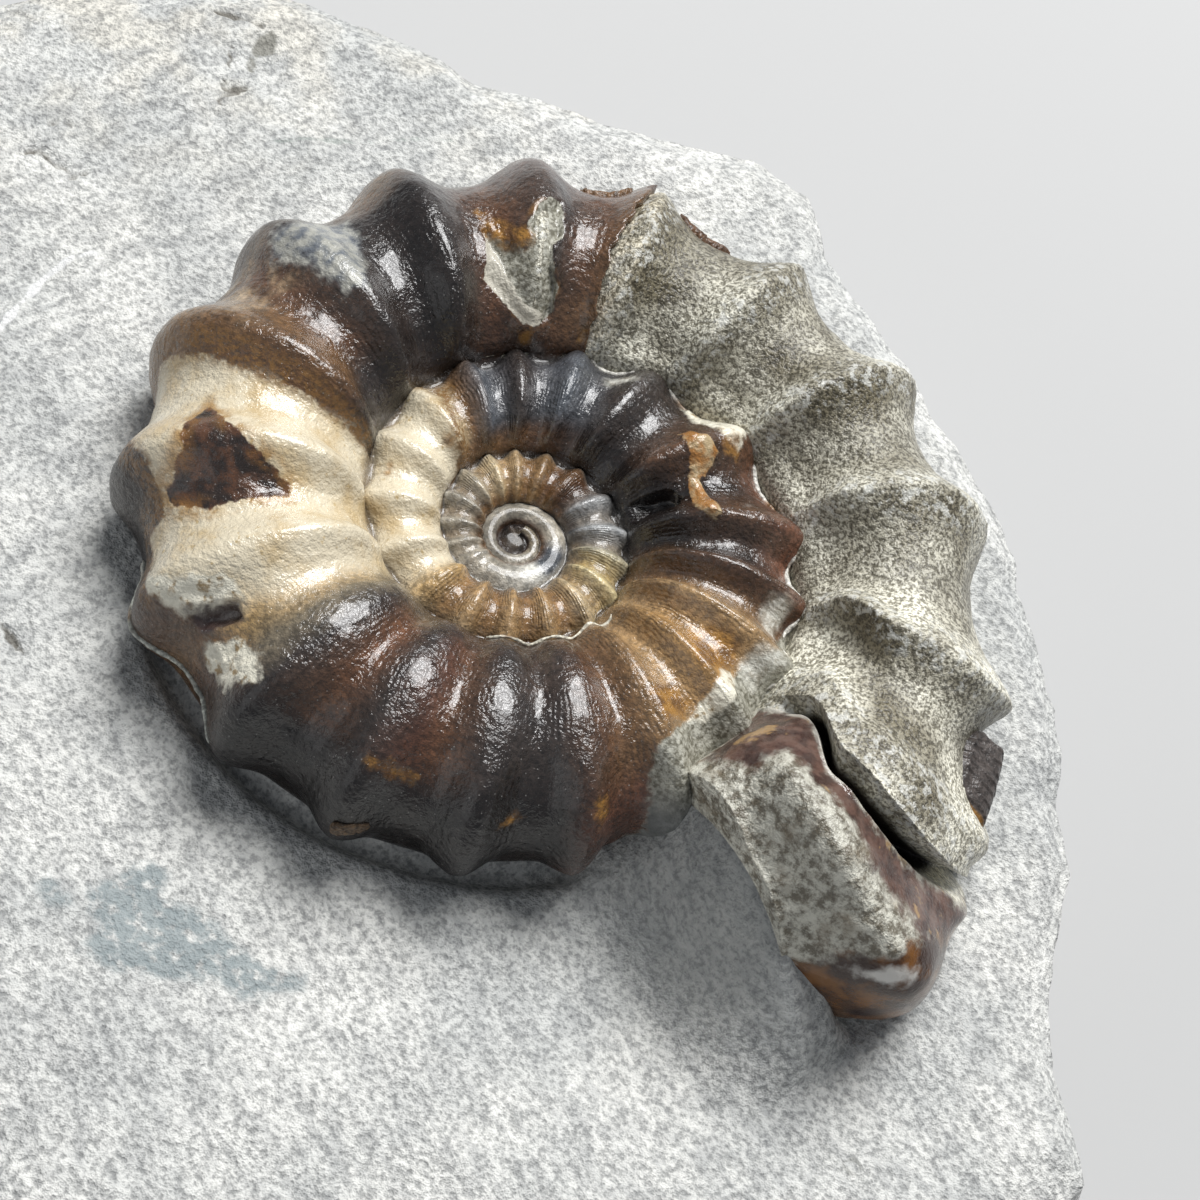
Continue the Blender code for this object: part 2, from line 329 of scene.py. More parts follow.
# Marks of the shell by name: outlines as turns and angles, and spots as turn, angle and radius in mm
SHELL_MARKS = {
    "pit": [[
        (2.738, 1), (2.737, -18), (2.734, -29), (2.746, -42), (2.761, -53), (2.775, -55),
        (2.783, -49), (2.783, -35), (2.777, -25), (2.775, -15), (2.781, -9), (2.779, 12),
        (2.771, 9), (2.764, 3), (2.759, -7), (2.764, -12), (2.756, -14), (2.747, -8),
    ]],
    "ledge": [[
        (2.737, -1), (2.744, -13), (2.749, -27), (2.753, -35), (2.762, -44), (2.777, -49),
        (2.775, -56), (2.761, -55), (2.744, -43), (2.732, -29), (2.735, -18),
    ]],
    "white_break": [[
        (2.646, 48), (2.656, 39), (2.678, 39), (2.675, 17), (2.653, -10), (2.641, -5), (2.639, 22),
        (2.635, 40),
    ]],
    "brown": [[
        (2.548, 28), (2.521, 7), (2.503, -12), (2.494, -11), (2.493, 13), (2.492, 31), (2.499, 50),
        (2.507, 52), (2.511, 45), (2.520, 36), (2.533, 35),
    ]],
    "cream": [[
        (2.434, -75), (2.432, 13), (2.444, 28), (2.456, 62), (2.472, 66), (2.494, 76), (2.497, 56),
        (2.519, 54), (2.554, 84), (2.568, 90), (2.576, 71), (2.574, 36), (2.569, 5), (2.571, -16),
        (2.570, -36), (2.575, -75),
    ], [
        (1.425, -75), (1.430, 75), (1.655, 75), (1.672, 24), (1.668, 0), (1.655, -30), (1.64, -75),
    ]],
    "chips": [[
        (2.473, 67), (2.460, 49), (2.457, 38), (2.449, 28), (2.442, 30), (2.441, 47), (2.450, 59),
        (2.458, 65),
    ], [(2.435, 63), (2.426, 44), (2.411, 38), (2.403, 46), (2.414, 63), (2.427, 71)]],
    "cavity": [[(2.449, 58), (2.446, 44), (2.441, 33), (2.434, 36), (2.434, 48), (2.441, 60)]],
    "hollow": [[(1.962, -62), (1.970, -30), (1.984, -22), (1.996, -32), (1.998, -60)]],
    "shard": [[
        (1.919, 2), (1.938, 10), (1.953, 14), (1.962, 6), (1.971, -5), (1.991, -5), (2.017, -5),
        (2.022, -9), (2.012, -18), (1.975, -16), (1.955, -7),
    ]],
    "cover": [[
        (2.075, 52), (2.095, 40), (2.112, 31), (2.13, 28), (2.15, 27), (2.165, 31), (2.182, 28),
        (2.199, 31), (2.204, 55), (2.205, 93), (2.212, 125), (2.07, 125),
    ]],
    "white_shell": [
        [(1.893, 51), (1.905, 38), (1.920, 25), (1.942, 22), (1.952, 30), (1.935, 51)],
        [(2.134, 19), (2.150, 22), (2.170, 30), (2.162, 35), (2.142, 31), (2.126, 29)],
    ],
    "calcite": [(2.075, 35, 0.95), (2.112, 37, 1.15), (1.850, 22, 0.6)],
    "amber": [
        [(2.737, 13), (2.755, -5), (2.765, -9), (2.760, -18), (2.750, -14), (2.739, -2)],
        [(2.129, -7), (2.111, 2), (2.110, 18), (2.119, 24), (2.148, 13), (2.149, 3)],
        [(2.190, 6), (2.167, 7), (2.163, 21), (2.172, 27), (2.191, 19)],
        [(2.343, 43), (2.340, 48), (2.324, 51), (2.322, 45)],
        [(2.238, 50), (2.232, 63), (2.226, 60), (2.230, 48)],
        [(2.278, 58), (2.276, 64), (2.270, 62), (2.272, 57)],
        (2.765, -60, 0.8), (2.812, -58, 0.9), (1.948, 27, 0.6), (1.648, -26, 0.4), (1.567, 25, 0.32),
    ],
}

# How a mark stands off the shell: raggedness and softness of its edge, lift and lumps in mm, and the
# lumps' size in mm and seed
MARK_RELIEF = {
    "white_break": (1.6, 0.5, -0.10, 0.10, 1.4, 23),
    "brown": (0.6, 0.35, -0.12, 0.13, 1.5, 25),
    "chips": (1.4, 0.5, -0.08, 0.62, 1.2, 27),
    "cavity": (0.8, 0.5, -0.75, 0, 1, 0),
    "hollow": (0.6, 0.4, -1.3, 0, 1, 0),
    "shard": (0.4, 0.25, 0.42, 0.10, 1.2, 29),
    "cover": (1.0, 0.5, 0.20, 0.16, 1.4, 31),
    "calcite": (0.9, 0.6, 0.10, 0.30, 0.9, 33),
    "white_shell": (1.0, 0.3, 0.25, 0, 1, 0),
}
# Marks whose lumps only rise
CRUSTS = ("chips", "calcite")


def shell_relief(turn, angle):
    """How far the shell stands off the plain whorl, in mm."""
    height = RIB_HEIGHT + 0.018 * ramp(turn, 1.7, 1.1) - 0.004 * ramp(turn, 2.45, 2.75)
    height = height * venter(turn) * ramp(turn, 0.30, 0.55) * (1 + 0.35 * bell(turn, 1.97, 0.09))
    broad = ramp(turn, 2.16, 2.22) * ramp(turn, 2.47, 2.39) * ramp(angle, 45, 15)
    height = height * (1 - 0.45 * broad)
    wave = rib_wave(turn, 1.5) * (1 - broad) + rib_wave(turn, 0.9) * broad
    twin = 0.5 * (1 - np.cos(2 * TAU * rib_phase(turn)))
    return rib_strength(angle) * (height * (wave - RIB_HOLLOW) + 0.1 * broad * twin)


def limited(depths):
    """Depths within the limit that a material needs."""
    return {name: np.clip(depth, -DEPTH_LIMIT_MM, DEPTH_LIMIT_MM) for name, depth in depths.items()}


def mark_depths(turn, angle, marks):
    """Depth inside each mark, in mm, by name."""
    return {name: mark_depth(turn, angle, shapes) for name, shapes in marks.items()}


def shell_detail(turn, angle, points, depths):
    """Damage, lumps and unevenness of the shell, in mm."""
    size = np.clip(venter(turn) / 25, 0.08, 1.0)
    wobble = 0.35 * rough_noise(points, 2.2, 3, 11)
    stand = size * (0.11 * rough_noise(points, 5.0, 3, 3) + 0.055 * rough_noise(points, 1.0, 3, 5))
    inner = ramp(turn, 1.68, 1.73) * ramp(turn, 2.1, 2.05)
    stand = stand + 0.05 * inner * rough_noise(points, 1.7, 2, 7)
    worn = bell(turn, 2.01, 0.06) * ramp(angle, -35, -15)
    stand = stand + 0.20 * worn * rough_noise(points, 2.6, 3, 35)
    pit = smooth((depths["pit"] + wobble) / 0.35) * (0.66 - 0.16 * rough_noise(points, 1.3, 3, 21))
    stand = stand - pit * (1 - 0.5 * smooth((depths["ledge"] + wobble) / 0.3))
    for name, (ragged, soft, lift, lumps, lump_size, seed) in MARK_RELIEF.items():
        height = lift
        if lumps:
            lump = rough_noise(points, lump_size, 3, seed)
            height = lift + lumps * (np.abs(lump) if name in CRUSTS else lump)
        stand = stand + height * smooth((depths[name] + ragged * wobble) / soft)
    flaked = smooth((depths["amber"] + 0.5 * wobble) / 0.15)
    return stand - 0.10 * flaked * ramp(turn, 2.22, 2.24)


# Building closed skins

class Skin:
    """Points of one closed mesh, each a place on the coil, and the faces between them."""

    def __init__(self):
        self.turns = []
        self.angles = []
        self.drops = []
        self.faces = []

    def row(self, turns, angles, drops=0.0):
        """Adds points and gives their numbers."""
        first = sum(len(part) for part in self.turns)
        angles = np.atleast_1d(np.asarray(angles, float))
        self.turns.append(np.broadcast_to(np.asarray(turns, float), angles.shape))
        self.angles.append(angles)
        self.drops.append(np.broadcast_to(np.asarray(drops, float), angles.shape))
        return list(range(first, first + len(angles)))

    def band(self, near, far):
        """Faces between two rows, which may have different numbers of points."""
        if len(near) == len(far):
            for corners in zip(near, near[1:], far[1:], far):
                self.face(corners)
            return
        i = 0
        j = 0
        while i < len(near) - 1 or j < len(far) - 1:
            near_next = (i + 1) / (len(near) - 1) if i < len(near) - 1 else math.inf
            far_next = (j + 1) / (len(far) - 1) if j < len(far) - 1 else math.inf
            if near_next <= far_next:
                self.face((near[i], near[i + 1], far[j]))
                i += 1
            else:
                self.face((near[i], far[j + 1], far[j]))
                j += 1

    def face(self, corners):
        """One face, without corners that fall together."""
        kept = [corner for corner, after in zip(corners, corners[1:] + corners[:1]) if corner != after]
        if len(kept) > 2:
            self.faces.append(kept)

    def values(self):
        """Turn, angle and drop of every point."""
        return np.concatenate(self.turns), np.concatenate(self.angles), np.concatenate(self.drops)


def quads(grid):
    """Faces between the neighbours in a grid of point numbers."""
    corners = (grid[:-1, :-1], grid[1:, :-1], grid[1:, 1:], grid[:-1, 1:])
    return np.stack(corners, axis=-1).reshape(-1, 4).tolist()


def ring_grid(count, sides):
    """Point numbers of rings, each closed by its first point."""
    grid = np.arange(count).reshape(-1, sides)
    return np.concatenate([grid, grid[:, :1]], axis=1)


def make_piece(name, points, faces, attributes, material, node="ammonite"):
    """Makes a closed piece in metres, in the frame, and puts it on the model."""
    mesh = bpy.data.meshes.new(name)
    placed = (np.asarray(points) + np.array(COIL_MIDDLE_MM)) * MM
    mesh.from_pydata(placed.tolist(), [], [[int(corner) for corner in face] for face in faces])
    for attribute, values in attributes.items():
        kind, field = ("FLOAT_COLOR", "color") if values.ndim == 2 else ("FLOAT", "value")
        layer = mesh.attributes.new(attribute, kind, "POINT")
        layer.data.foreach_set(field, values.astype(np.float32).ravel())
    shaped = bmesh.new()
    shaped.from_mesh(mesh)
    shaped.normal_update()
    caps = [face for face in shaped.faces if len(face.verts) > 4]
    bmesh.ops.triangulate(shaped, faces=caps)
    bmesh.ops.recalc_face_normals(shaped, faces=shaped.faces)
    shaped.to_mesh(mesh)
    shaped.free()
    mesh.shade_smooth()
    piece = bpy.data.objects.new(name, mesh)
    bpy.context.scene.collection.objects.link(piece)
    mesh.materials.append(material)
    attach(piece, "root")
    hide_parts(node)


def colour_attribute(colours):
    """Keeps colours in range and adds the alpha channel that a colour attribute has."""
    return np.concatenate([np.clip(colours, 0, 1), np.ones((len(colours), 1))], axis=1)


# The shell, from the middle of the coil to its broken end

SHELL_ROWS = 720
SHELL_START = -1.15
FLANK_COLUMNS = ((0.2, 9), (1.2, 16), (2.17, 30), (math.inf, 54))
OUTER_SIDE_TURN = 2.17
SIDE_COLUMNS = 46
HIDDEN_SIDE_COLUMNS = 8
EDGE_DROPS_MM = (0.45, 1.1, 2.2)
MIDDLE_TURNS = 0.3
MIDDLE_RISE_MM = 0.35


def flank_angles(turn, start):
    """Angles of one row across the flank; small turns have fewer."""
    columns = next(count for limit, count in FLANK_COLUMNS if turn < limit)
    return np.linspace(start, SEAM_DEG, columns + 1)


def side_angles(turn, end):
    """Angles of one row down the outer side, past the seam."""
    columns = SIDE_COLUMNS if turn > OUTER_SIDE_TURN else HIDDEN_SIDE_COLUMNS
    return np.linspace(SEAM_DEG, end, columns + 1)[1:]


def build_shell(material):
    """The whole shell as one closed skin."""
    skin = Skin()
    first = int(round(SHELL_START * SHELL_ROWS))
    last = int(round(SHELL_END * SHELL_ROWS))
    opened = last - SHELL_ROWS
    turns = np.arange(first, last + 1) / SHELL_ROWS
    flanks = {}
    sides = {}
    starts = start_angle(turns)
    ends = end_angle(turns)
    for row, turn, start, end in zip(range(first, last + 1), turns, starts, ends):
        angles = flank_angles(turn, start)
        ragged = broken_end(turn, angles)
        inner = row - SHELL_ROWS
        if inner >= first:
            flanks[row] = [flanks[inner][-1]] + skin.row(turn + ragged[1:], angles[1:])
        else:
            flanks[row] = skin.row(turn + ragged, angles)
        if row >= opened:
            below = side_angles(turn, end)
            sides[row] = [flanks[row][-1]] + skin.row(turn + broken_end(turn, below), below)
    for row in range(first, last):
        skin.band(flanks[row], flanks[row + 1])
        if row >= opened:
            skin.band(sides[row], sides[row + 1])
    edge = flanks[last] + sides[last][1:]
    angles = np.concatenate([angles[1:], below])
    for drop in EDGE_DROPS_MM:
        inner_edge = [edge[0]] + skin.row(turn + broken_end(turn, angles), angles, drop)
        skin.band(edge, inner_edge)
        edge = inner_edge
    close_middle(skin, flanks, first)
    skin.faces.append(edge + sides[opened][::-1])
    skin.faces.append([sides[row][-1] for row in range(opened, last + 1)] + [edge[-1]])

    turn, angle, drop = skin.values()
    plain = coil_point(turn, angle, 0.0)
    depths = mark_depths(turn, angle, SHELL_MARKS)
    fade = seam_fade(turn, angle)
    stand = shell_relief(turn, angle) + shell_detail(turn, angle, plain, depths)
    stand = stand * fade * under_fade(angle)
    points = coil_point(turn, angle, stand - drop * fade)
    first_heights = points[:-1][turn[:-1] < SHELL_START + MIDDLE_TURNS][:, 2]
    points[-1] = (0, 0, first_heights.mean() + MIDDLE_RISE_MM)
    attributes = limited(depths)
    attributes["tint"] = colour_attribute(shell_tint(turn, angle, plain))
    attributes["growth"] = rib_phase(turn)
    attributes["blur"] = edge_blur(turn)
    attributes["low_side"] = ramp(angle, 48, 78)
    attributes["crevice_shade"] = seam_shade(turn, angle)
    make_piece("ammonite_shell", points, skin.faces, attributes, material)


def broken_end(turn, angles):
    """Rows near the shell's end follow its ragged edge; gives the shift in turns."""
    spots = np.stack([angles * 0.11, angles * 0 + 3.1, angles * 0 + 1.7], axis=-1)
    ragged = 0.0035 * noise(spots, 71) + 0.0022 * noise(spots * 3.1, 72)
    ragged = ragged + 0.004 * bell(angles, 55, 22) - 0.004 * bell(angles, -20, 25)
    return ramp(turn, SHELL_END - 0.05, SHELL_END) * ragged


def close_middle(skin, flanks, first):
    """A small cap over the first turn; its middle is the skin's last point."""
    loop = [flanks[row][0] for row in range(first, first + SHELL_ROWS)]
    loop += flanks[first][:0:-1]
    middle = skin.row([FIRST_TURN], [0.0])[0]
    for near, far in zip(loop, loop[1:] + loop[:1]):
        skin.faces.append((near, far, middle))


def seam_shade(turn, angle):
    """Painted shade: 1 deep between the turns and where the next turn lies on this one, fading out on
    the flanks.
    """
    inner = 1 - smooth((angle - start_angle(turn)) / 14)
    outer = ramp(angle, SEAM_DEG - 8, SEAM_DEG) * ramp(turn, SHELL_END - 1, SHELL_END - 1.01)
    return np.maximum(inner, outer)


# Colours of the shell along the coil, as turns and names: on the flank, outer side and inner edge

COLOURS = {
    "black": (0.012, 0.009, 0.008),
    "dark": (0.034, 0.027, 0.024),
    "brown": (0.085, 0.044, 0.024),
    "umber": (0.150, 0.085, 0.040),
    "red": (0.082, 0.040, 0.027),
    "rust": (0.150, 0.068, 0.042),
    "tan": (0.330, 0.215, 0.105),
    "gold": (0.430, 0.290, 0.130),
    "amber": (0.330, 0.190, 0.070),
    "beige": (0.500, 0.410, 0.260),
    "cream": (0.700, 0.620, 0.460),
    "bone": (0.310, 0.285, 0.235),
    "white": (0.560, 0.555, 0.510),
    "yellow": (0.580, 0.490, 0.250),
    "silver": (0.270, 0.280, 0.285),
    # Blue grey: partly the shell's own tone, and on the flank near turns 1.72 and 1.81 a painted sheen
    # of the gloss.
    "steel": (0.085, 0.095, 0.110),
    "olive": (0.160, 0.135, 0.095),
}
FLANK_STOPS = """
    -1.2 olive, -0.90 olive, -0.75 bone, 0.02 bone, 0.08 steel, 0.16 steel, 0.20 white, 0.34 bone,
    0.62 bone, 0.70 beige, 0.78 tan, 0.85 umber, 0.90 brown, 0.95 silver, 1.03 silver, 1.09 yellow,
    1.15 beige, 1.20 tan, 1.36 tan, 1.40 gold, 1.44 cream, 1.64 cream, 1.675 beige, 1.695 umber,
    1.72 steel, 1.76 dark, 1.81 steel, 1.86 dark, 1.90 dark, 1.94 brown, 1.98 black, 2.01 brown,
    2.04 dark, 2.07 brown, 2.10 tan, 2.14 amber, 2.17 tan, 2.20 umber, 2.225 brown, 2.25 dark,
    2.29 dark, 2.315 brown, 2.33 red, 2.352 dark, 2.375 brown, 2.40 dark, 2.415 olive, 2.432 gold,
    2.450 cream, 2.560 cream, 2.575 brown, 2.60 umber, 2.62 brown, 2.65 dark, 2.70 black,
    2.725 dark, 2.745 brown, 2.78 dark, 2.80 brown, 2.82 umber
"""
SIDE_STOPS = """
    -1.2 bone, 0.15 bone, 0.60 white, 0.80 bone, 1.00 silver, 1.15 yellow, 1.25 tan, 1.44 cream,
    1.66 cream, 1.70 umber, 1.74 dark, 1.88 dark, 1.94 brown, 1.98 rust, 2.05 rust, 2.09 brown,
    2.12 tan, 2.17 umber, 2.20 rust, 2.235 red, 2.25 black, 2.40 black, 2.425 brown, 2.44 umber,
    2.455 brown, 2.48 dark, 2.54 dark, 2.565 umber, 2.60 umber, 2.63 brown, 2.66 dark, 2.70 umber,
    2.72 dark, 2.76 red, 2.82 brown
"""
INNER_STOPS = """
    -1.2 dark, 0.0 brown, 0.45 umber, 0.80 tan, 0.90 umber, 1.00 steel, 1.12 beige, 1.25 umber,
    1.40 tan, 1.46 cream, 1.60 beige, 1.66 umber, 1.72 umber, 1.80 brown, 1.86 black, 2.03 black,
    2.08 umber, 2.13 tan, 2.20 umber, 2.26 dark, 2.34 dark, 2.42 olive, 2.45 beige, 2.50 cream,
    2.56 cream, 2.58 dark, 2.70 black, 2.78 brown, 2.82 umber
"""
WARM_GAIN = (0.50, 0.26, 0.08)
# How much of each channel the painted shade in the inner turns' rib hollows takes away
HOLLOW_SHADE = (0.7, 0.85, 1.0)
LIT_BAND = (0.46, 0.35, 0.22)


def stops_colour(turn, stops):
    """Colour along the coil, between the stops."""
    stops = [stop.split() for stop in stops.split(",")]
    places = [float(place) for place, _ in stops]
    channels = zip(*(COLOURS[name] for _, name in stops))
    return np.stack([np.interp(turn, places, channel) for channel in channels], axis=-1)


def mix(first, second, share):
    """Goes from the first colour to the second where share is 1."""
    return first + (np.asarray(second) - first) * share[:, None]


def shell_tint(turn, angle, points):
    """Colour of the shell before its marks."""
    shifted = turn + 0.006 * rough_noise(points, 4.0, 3, 41)
    drift = 12 * rough_noise(points, 5.0, 2, 43) + 16 * bell(turn, 2.0, 0.07)
    colours = stops_colour(shifted, FLANK_STOPS)
    colours = mix(colours, stops_colour(shifted, SIDE_STOPS), ramp(angle + drift, 28, 62))
    colours = mix(colours, stops_colour(shifted, INNER_STOPS), ramp(angle - drift, -26, -52))
    valley = 1 - rib_wave(turn, 1.0)
    warm = valley * ramp(turn, 2.22, 2.24) * smooth(0.35 + rough_noise(points, 7.0, 2, 47))
    warm = warm * (1 - ramp(turn, 2.395, 2.415) * ramp(turn, 2.63, 2.61))
    # Painted shade: the hollows between the ribs of the inner turns are darkened, blue most.
    between = valley * ramp(turn, 0.4, 0.5) * ramp(turn, 1.42, 1.37)
    colours = colours * (1 + warm[:, None] * np.array(WARM_GAIN))
    colours = colours * (1 - 0.55 * between[:, None] * np.array(HOLLOW_SHADE))
    lit = bell(turn, 2.615, 0.026) * smooth(rough_noise(points, 1.8, 4, 49) + 0.35)
    colours = mix(colours, LIT_BAND, 0.6 * lit * ramp(angle, 8, 33))
    shade = 1 + 0.30 * rough_noise(points, 1.4, 4, 45)
    return np.maximum(colours * shade[:, None], 0.004)


def edge_blur(turn):
    """Softness of the cream's edges, in mm: its lower edges fade out."""
    return 0.12 + 1.5 * bell(turn, 2.434, 0.018) + 0.9 * bell(turn, 1.43, 0.03)


# The rock filling and the ridge of the mouth

FILLING_COLUMNS = 122
# Rows are closer together near the slot: turns, and the number of the row at each
FILLING_TURNS = (2.735, 3.128, 3.158, COIL_END)
FILLING_ROWS = (0, 300, 356, 391)
WALL_LEAN = (0.96, 0.96, 1.0)
WALL_COLOUR = (0.1, 0.1, 0.1)
FILLING_DARK = (0.108, 0.094, 0.062)
FILLING_PALE = (0.51, 0.495, 0.43)
FILLING_FRINGE = (0.60, 0.55, 0.44)
RIDGE_RADIUS_MM = 30
# The strip of shell on the ridge, its amber lobe and the lobe's white spot, which is partly a pale
# patch and partly a painted highlight
FILLING_MARKS = {
    "strip": [[
        (3.150, -66), (3.1495, 60), (3.150, 95), (3.160, 95), (3.163, 60), (3.160, 30),
        (3.1585, 5), (3.160, -15), (3.166, -30), (3.176, -38), (3.178, -66),
    ]],
    "lobe": [[
        (3.165, 58), (3.160, 68), (3.156, 90), (3.158, 108), (3.172, 110), (3.186, 96),
        (3.184, 70), (3.176, 58),
    ]],
    "pale_spot_and_highlight": [(3.172, 65, 0.62)],
}


def lean_back(turn, angle):
    """How far the last ribs and the slot lean back, in turns."""
    near = ramp(turn, SLOT_TURN - 0.16, SLOT_TURN - 0.02)
    near = near * ramp(turn, SLOT_TURN + 0.04, SLOT_TURN + 0.006)
    return near * (0.026 * (np.clip(angle - 10, 0, 95) / 80) ** 2 + 0.020 * ramp(angle, -8, -46))


def sharp_ribs(turn):
    """1 on a narrow crest, falling to 0 in a broad hollow."""
    away = np.abs(rib_phase(turn) - np.round(rib_phase(turn)))
    narrow = np.exp(-np.sqrt(away ** 2 + 0.0012) / 0.12)
    return 0.55 * rib_wave(turn, 1.6) + 0.60 * narrow


def filling_relief(turn, angle):
    """How far the filling and the ridge stand off the plain whorl, in mm."""
    height = 0.058 * venter(turn) * rib_strength(angle)
    ribs = height * (1 - 0.45 * ramp(turn, 3.095, 3.115)) * (sharp_ribs(turn) - 0.36)
    fade = ramp(angle, -78, -48)
    stand = np.where(turn < SLOT_TURN - 0.004, ribs, -0.2 * height) - SHELL_MM * fade
    slot_fade = ramp(angle, -62, -32) * (1 - 0.75 * ramp(angle, 64, 90))
    stand = stand - SLOT_DEPTH_MM * slot_fade * np.exp(-np.abs((turn - SLOT_TURN) / SLOT_WIDTH) ** 3)
    flare = 0.3 * fade + 0.7 * ramp(angle, 35, 75)
    stand = stand + LIP_FLARE_MM * flare * bell(turn, LIP_TURN, LIP_WIDTH)
    stand = stand + 1.1 * bell(turn, 3.130, 0.009) * ramp(angle, 52, 77)
    stand = stand + 2.1 * bell(turn, 3.1505, 0.0062) * ramp(angle, 58, 84)
    return stand - MOUTH_FALL_MM * ramp(turn, LIP_TURN, LIP_TURN + 0.018) * ramp(angle, -55, -5)


def build_filling(material):
    """The rock that fills the body chamber, the slot and the ridge, as one closed skin."""
    skin = Skin()
    rows = []
    for turn in np.interp(np.arange(FILLING_ROWS[-1] + 1), FILLING_ROWS, FILLING_TURNS):
        angles = np.linspace(float(start_angle(turn)) - 6, float(end_angle(turn)), FILLING_COLUMNS)
        rows.append(skin.row(turn, angles))
    for near, far in zip(rows, rows[1:]):
        skin.band(near, far)
    turn, angle, _ = skin.values()
    lean = lean_back(turn, angle)
    plain = coil_point(turn, angle, 0.0, lean)
    depths = mark_depths(turn, angle, FILLING_MARKS)
    depths["ridge"] = (turn - SLOT_TURN - 0.002) * TAU * RIDGE_RADIUS_MM
    stand = filling_relief(turn, angle) + filling_detail(turn, plain, depths)
    stand = stand * seam_fade(turn, angle) * under_fade(angle)
    points = coil_point(turn, angle, stand, lean)
    # The inner wall goes straight down inside the shell
    walls = points[[row[0] for row in rows]] * np.array(WALL_LEAN)
    walls[:, 2] = UNDERSIDE_MM
    for number, row in enumerate(rows):
        row.insert(0, len(points) + number)
    for near, far in zip(rows, rows[1:]):
        skin.face((near[0], near[1], far[1], far[0]))
        skin.face((near[-1], near[0], far[0], far[-1]))
    skin.faces.append(rows[0])
    skin.faces.append(rows[-1][::-1])
    attributes = limited(depths)
    attributes["upper_end"] = ramp(angle, 10, -20)
    attributes["relief"] = stand
    attributes["crest"] = rib_wave(turn, 3.0)
    for name, values in attributes.items():
        attributes[name] = np.concatenate([values, np.zeros(len(rows))])
    tint = np.concatenate([filling_tint(turn, plain), [WALL_COLOUR] * len(rows)])
    attributes["tint"] = colour_attribute(tint)
    make_piece("body_filling", np.concatenate([points, walls]), skin.faces, attributes, material)


def filling_detail(turn, points, depths):
    """Grain, crystals and lumps, in mm."""
    grain = 0.05 * rough_noise(points, 0.75, 2, 51) + 0.12 * rough_noise(points, 4.0, 3, 53)
    crystals = 0.15 * rib_wave(turn, 4.0) * np.abs(rough_noise(points, 0.9, 3, 55))
    ridge = smooth(depths["ridge"] / 0.6)
    lumps = 0.30 * rough_noise(points, 2.4, 4, 57)
    polished = ramp(np.maximum(depths["strip"], depths["lobe"]), -0.2, 0.3)
    return (grain + crystals) * (1 - ridge) + lumps * ridge * (1 - 0.75 * polished)


def filling_tint(turn, points):
    """Olive grey, darker in the hollows between the ribs, with painted light and shade: lighter crests,
    a dark band just past each crest and paler last ribs.
    """
    # Painted light: the pale colour grows lighter on the last ribs before the slot.
    pale = np.array(FILLING_PALE) * (1 + 0.35 * ramp(turn, 3.02, 3.08)[:, None])
    # Painted shade just past each crest; the lighter crests are partly their pale crystals and partly
    # painted light.
    shaded_lee = bell(rib_phase(turn) - np.round(rib_phase(turn)), 0.13, 0.13)
    share = 0.48 + 0.16 * rib_wave(turn, 2.0) - 0.34 * shaded_lee + 0.52 * rough_noise(points, 6.0, 5, 61)
    fringe = bell(turn, SHELL_END + 0.004, 0.006) * smooth(rough_noise(points, 1.5, 3, 63) * 2 + 0.6)
    colours = mix(np.array(FILLING_DARK), pale, smooth(share))
    return mix(colours, FILLING_FRINGE, 0.8 * fringe)


# Flakes of shell and the pale crust along the seam

FLAKE_ROWS = 64
FLAKE_COLUMNS = 40
THREAD_RINGS = 460
THREAD_SIDES = 10
# Name, turns, angles, thickness in mm, share of the surface's own ribs, colour, growth steps
FLAKES = (
    ("venter_fragment", (3.080, 3.110), (58, 99), 1.35, 0.0, (0.060, 0.050, 0.045), 8),
    ("edge_flake", (2.832, 2.857), (44, 76), 0.36, 1.0, (0.095, 0.050, 0.026), 2),
    ("end_flake", (2.790, 2.810), (46, 64), 0.30, 1.0, (0.150, 0.085, 0.042), 1),
    ("rim_sliver", (2.331, 2.345), (82, 91), 0.18, 1.0, (0.120, 0.075, 0.040), 1),
)
AMBER_END = (0.30, 0.15, 0.035)
# Name, turns, angle, stand and width in mm, colour, unevenness
THREADS = (
    ("seam_fill", (1.812, 2.120), 57, -0.38, 0.50, (0.26, 0.245, 0.195), 0.35),
    ("seam_crust", (1.814, 2.118), 52, 0.02, 0.17, (0.66, 0.64, 0.58), 0.7),
    ("left_shell_edge", (2.405, 2.492), 96, 0.05, 0.20, (0.42, 0.43, 0.38), 0.5),
    ("inner_seam_line", (2.155, 2.31), -56, 0.10, 0.10, (0.62, 0.58, 0.47), 0.8),
)
THREAD_BROWN = (0.20, 0.11, 0.05)


def surface_relief(turn, angle):
    """How far the shell, or past its end the filling, stands off the plain whorl, in mm."""
    return np.where(turn < SHELL_END, shell_relief(turn, angle), filling_relief(turn, angle))


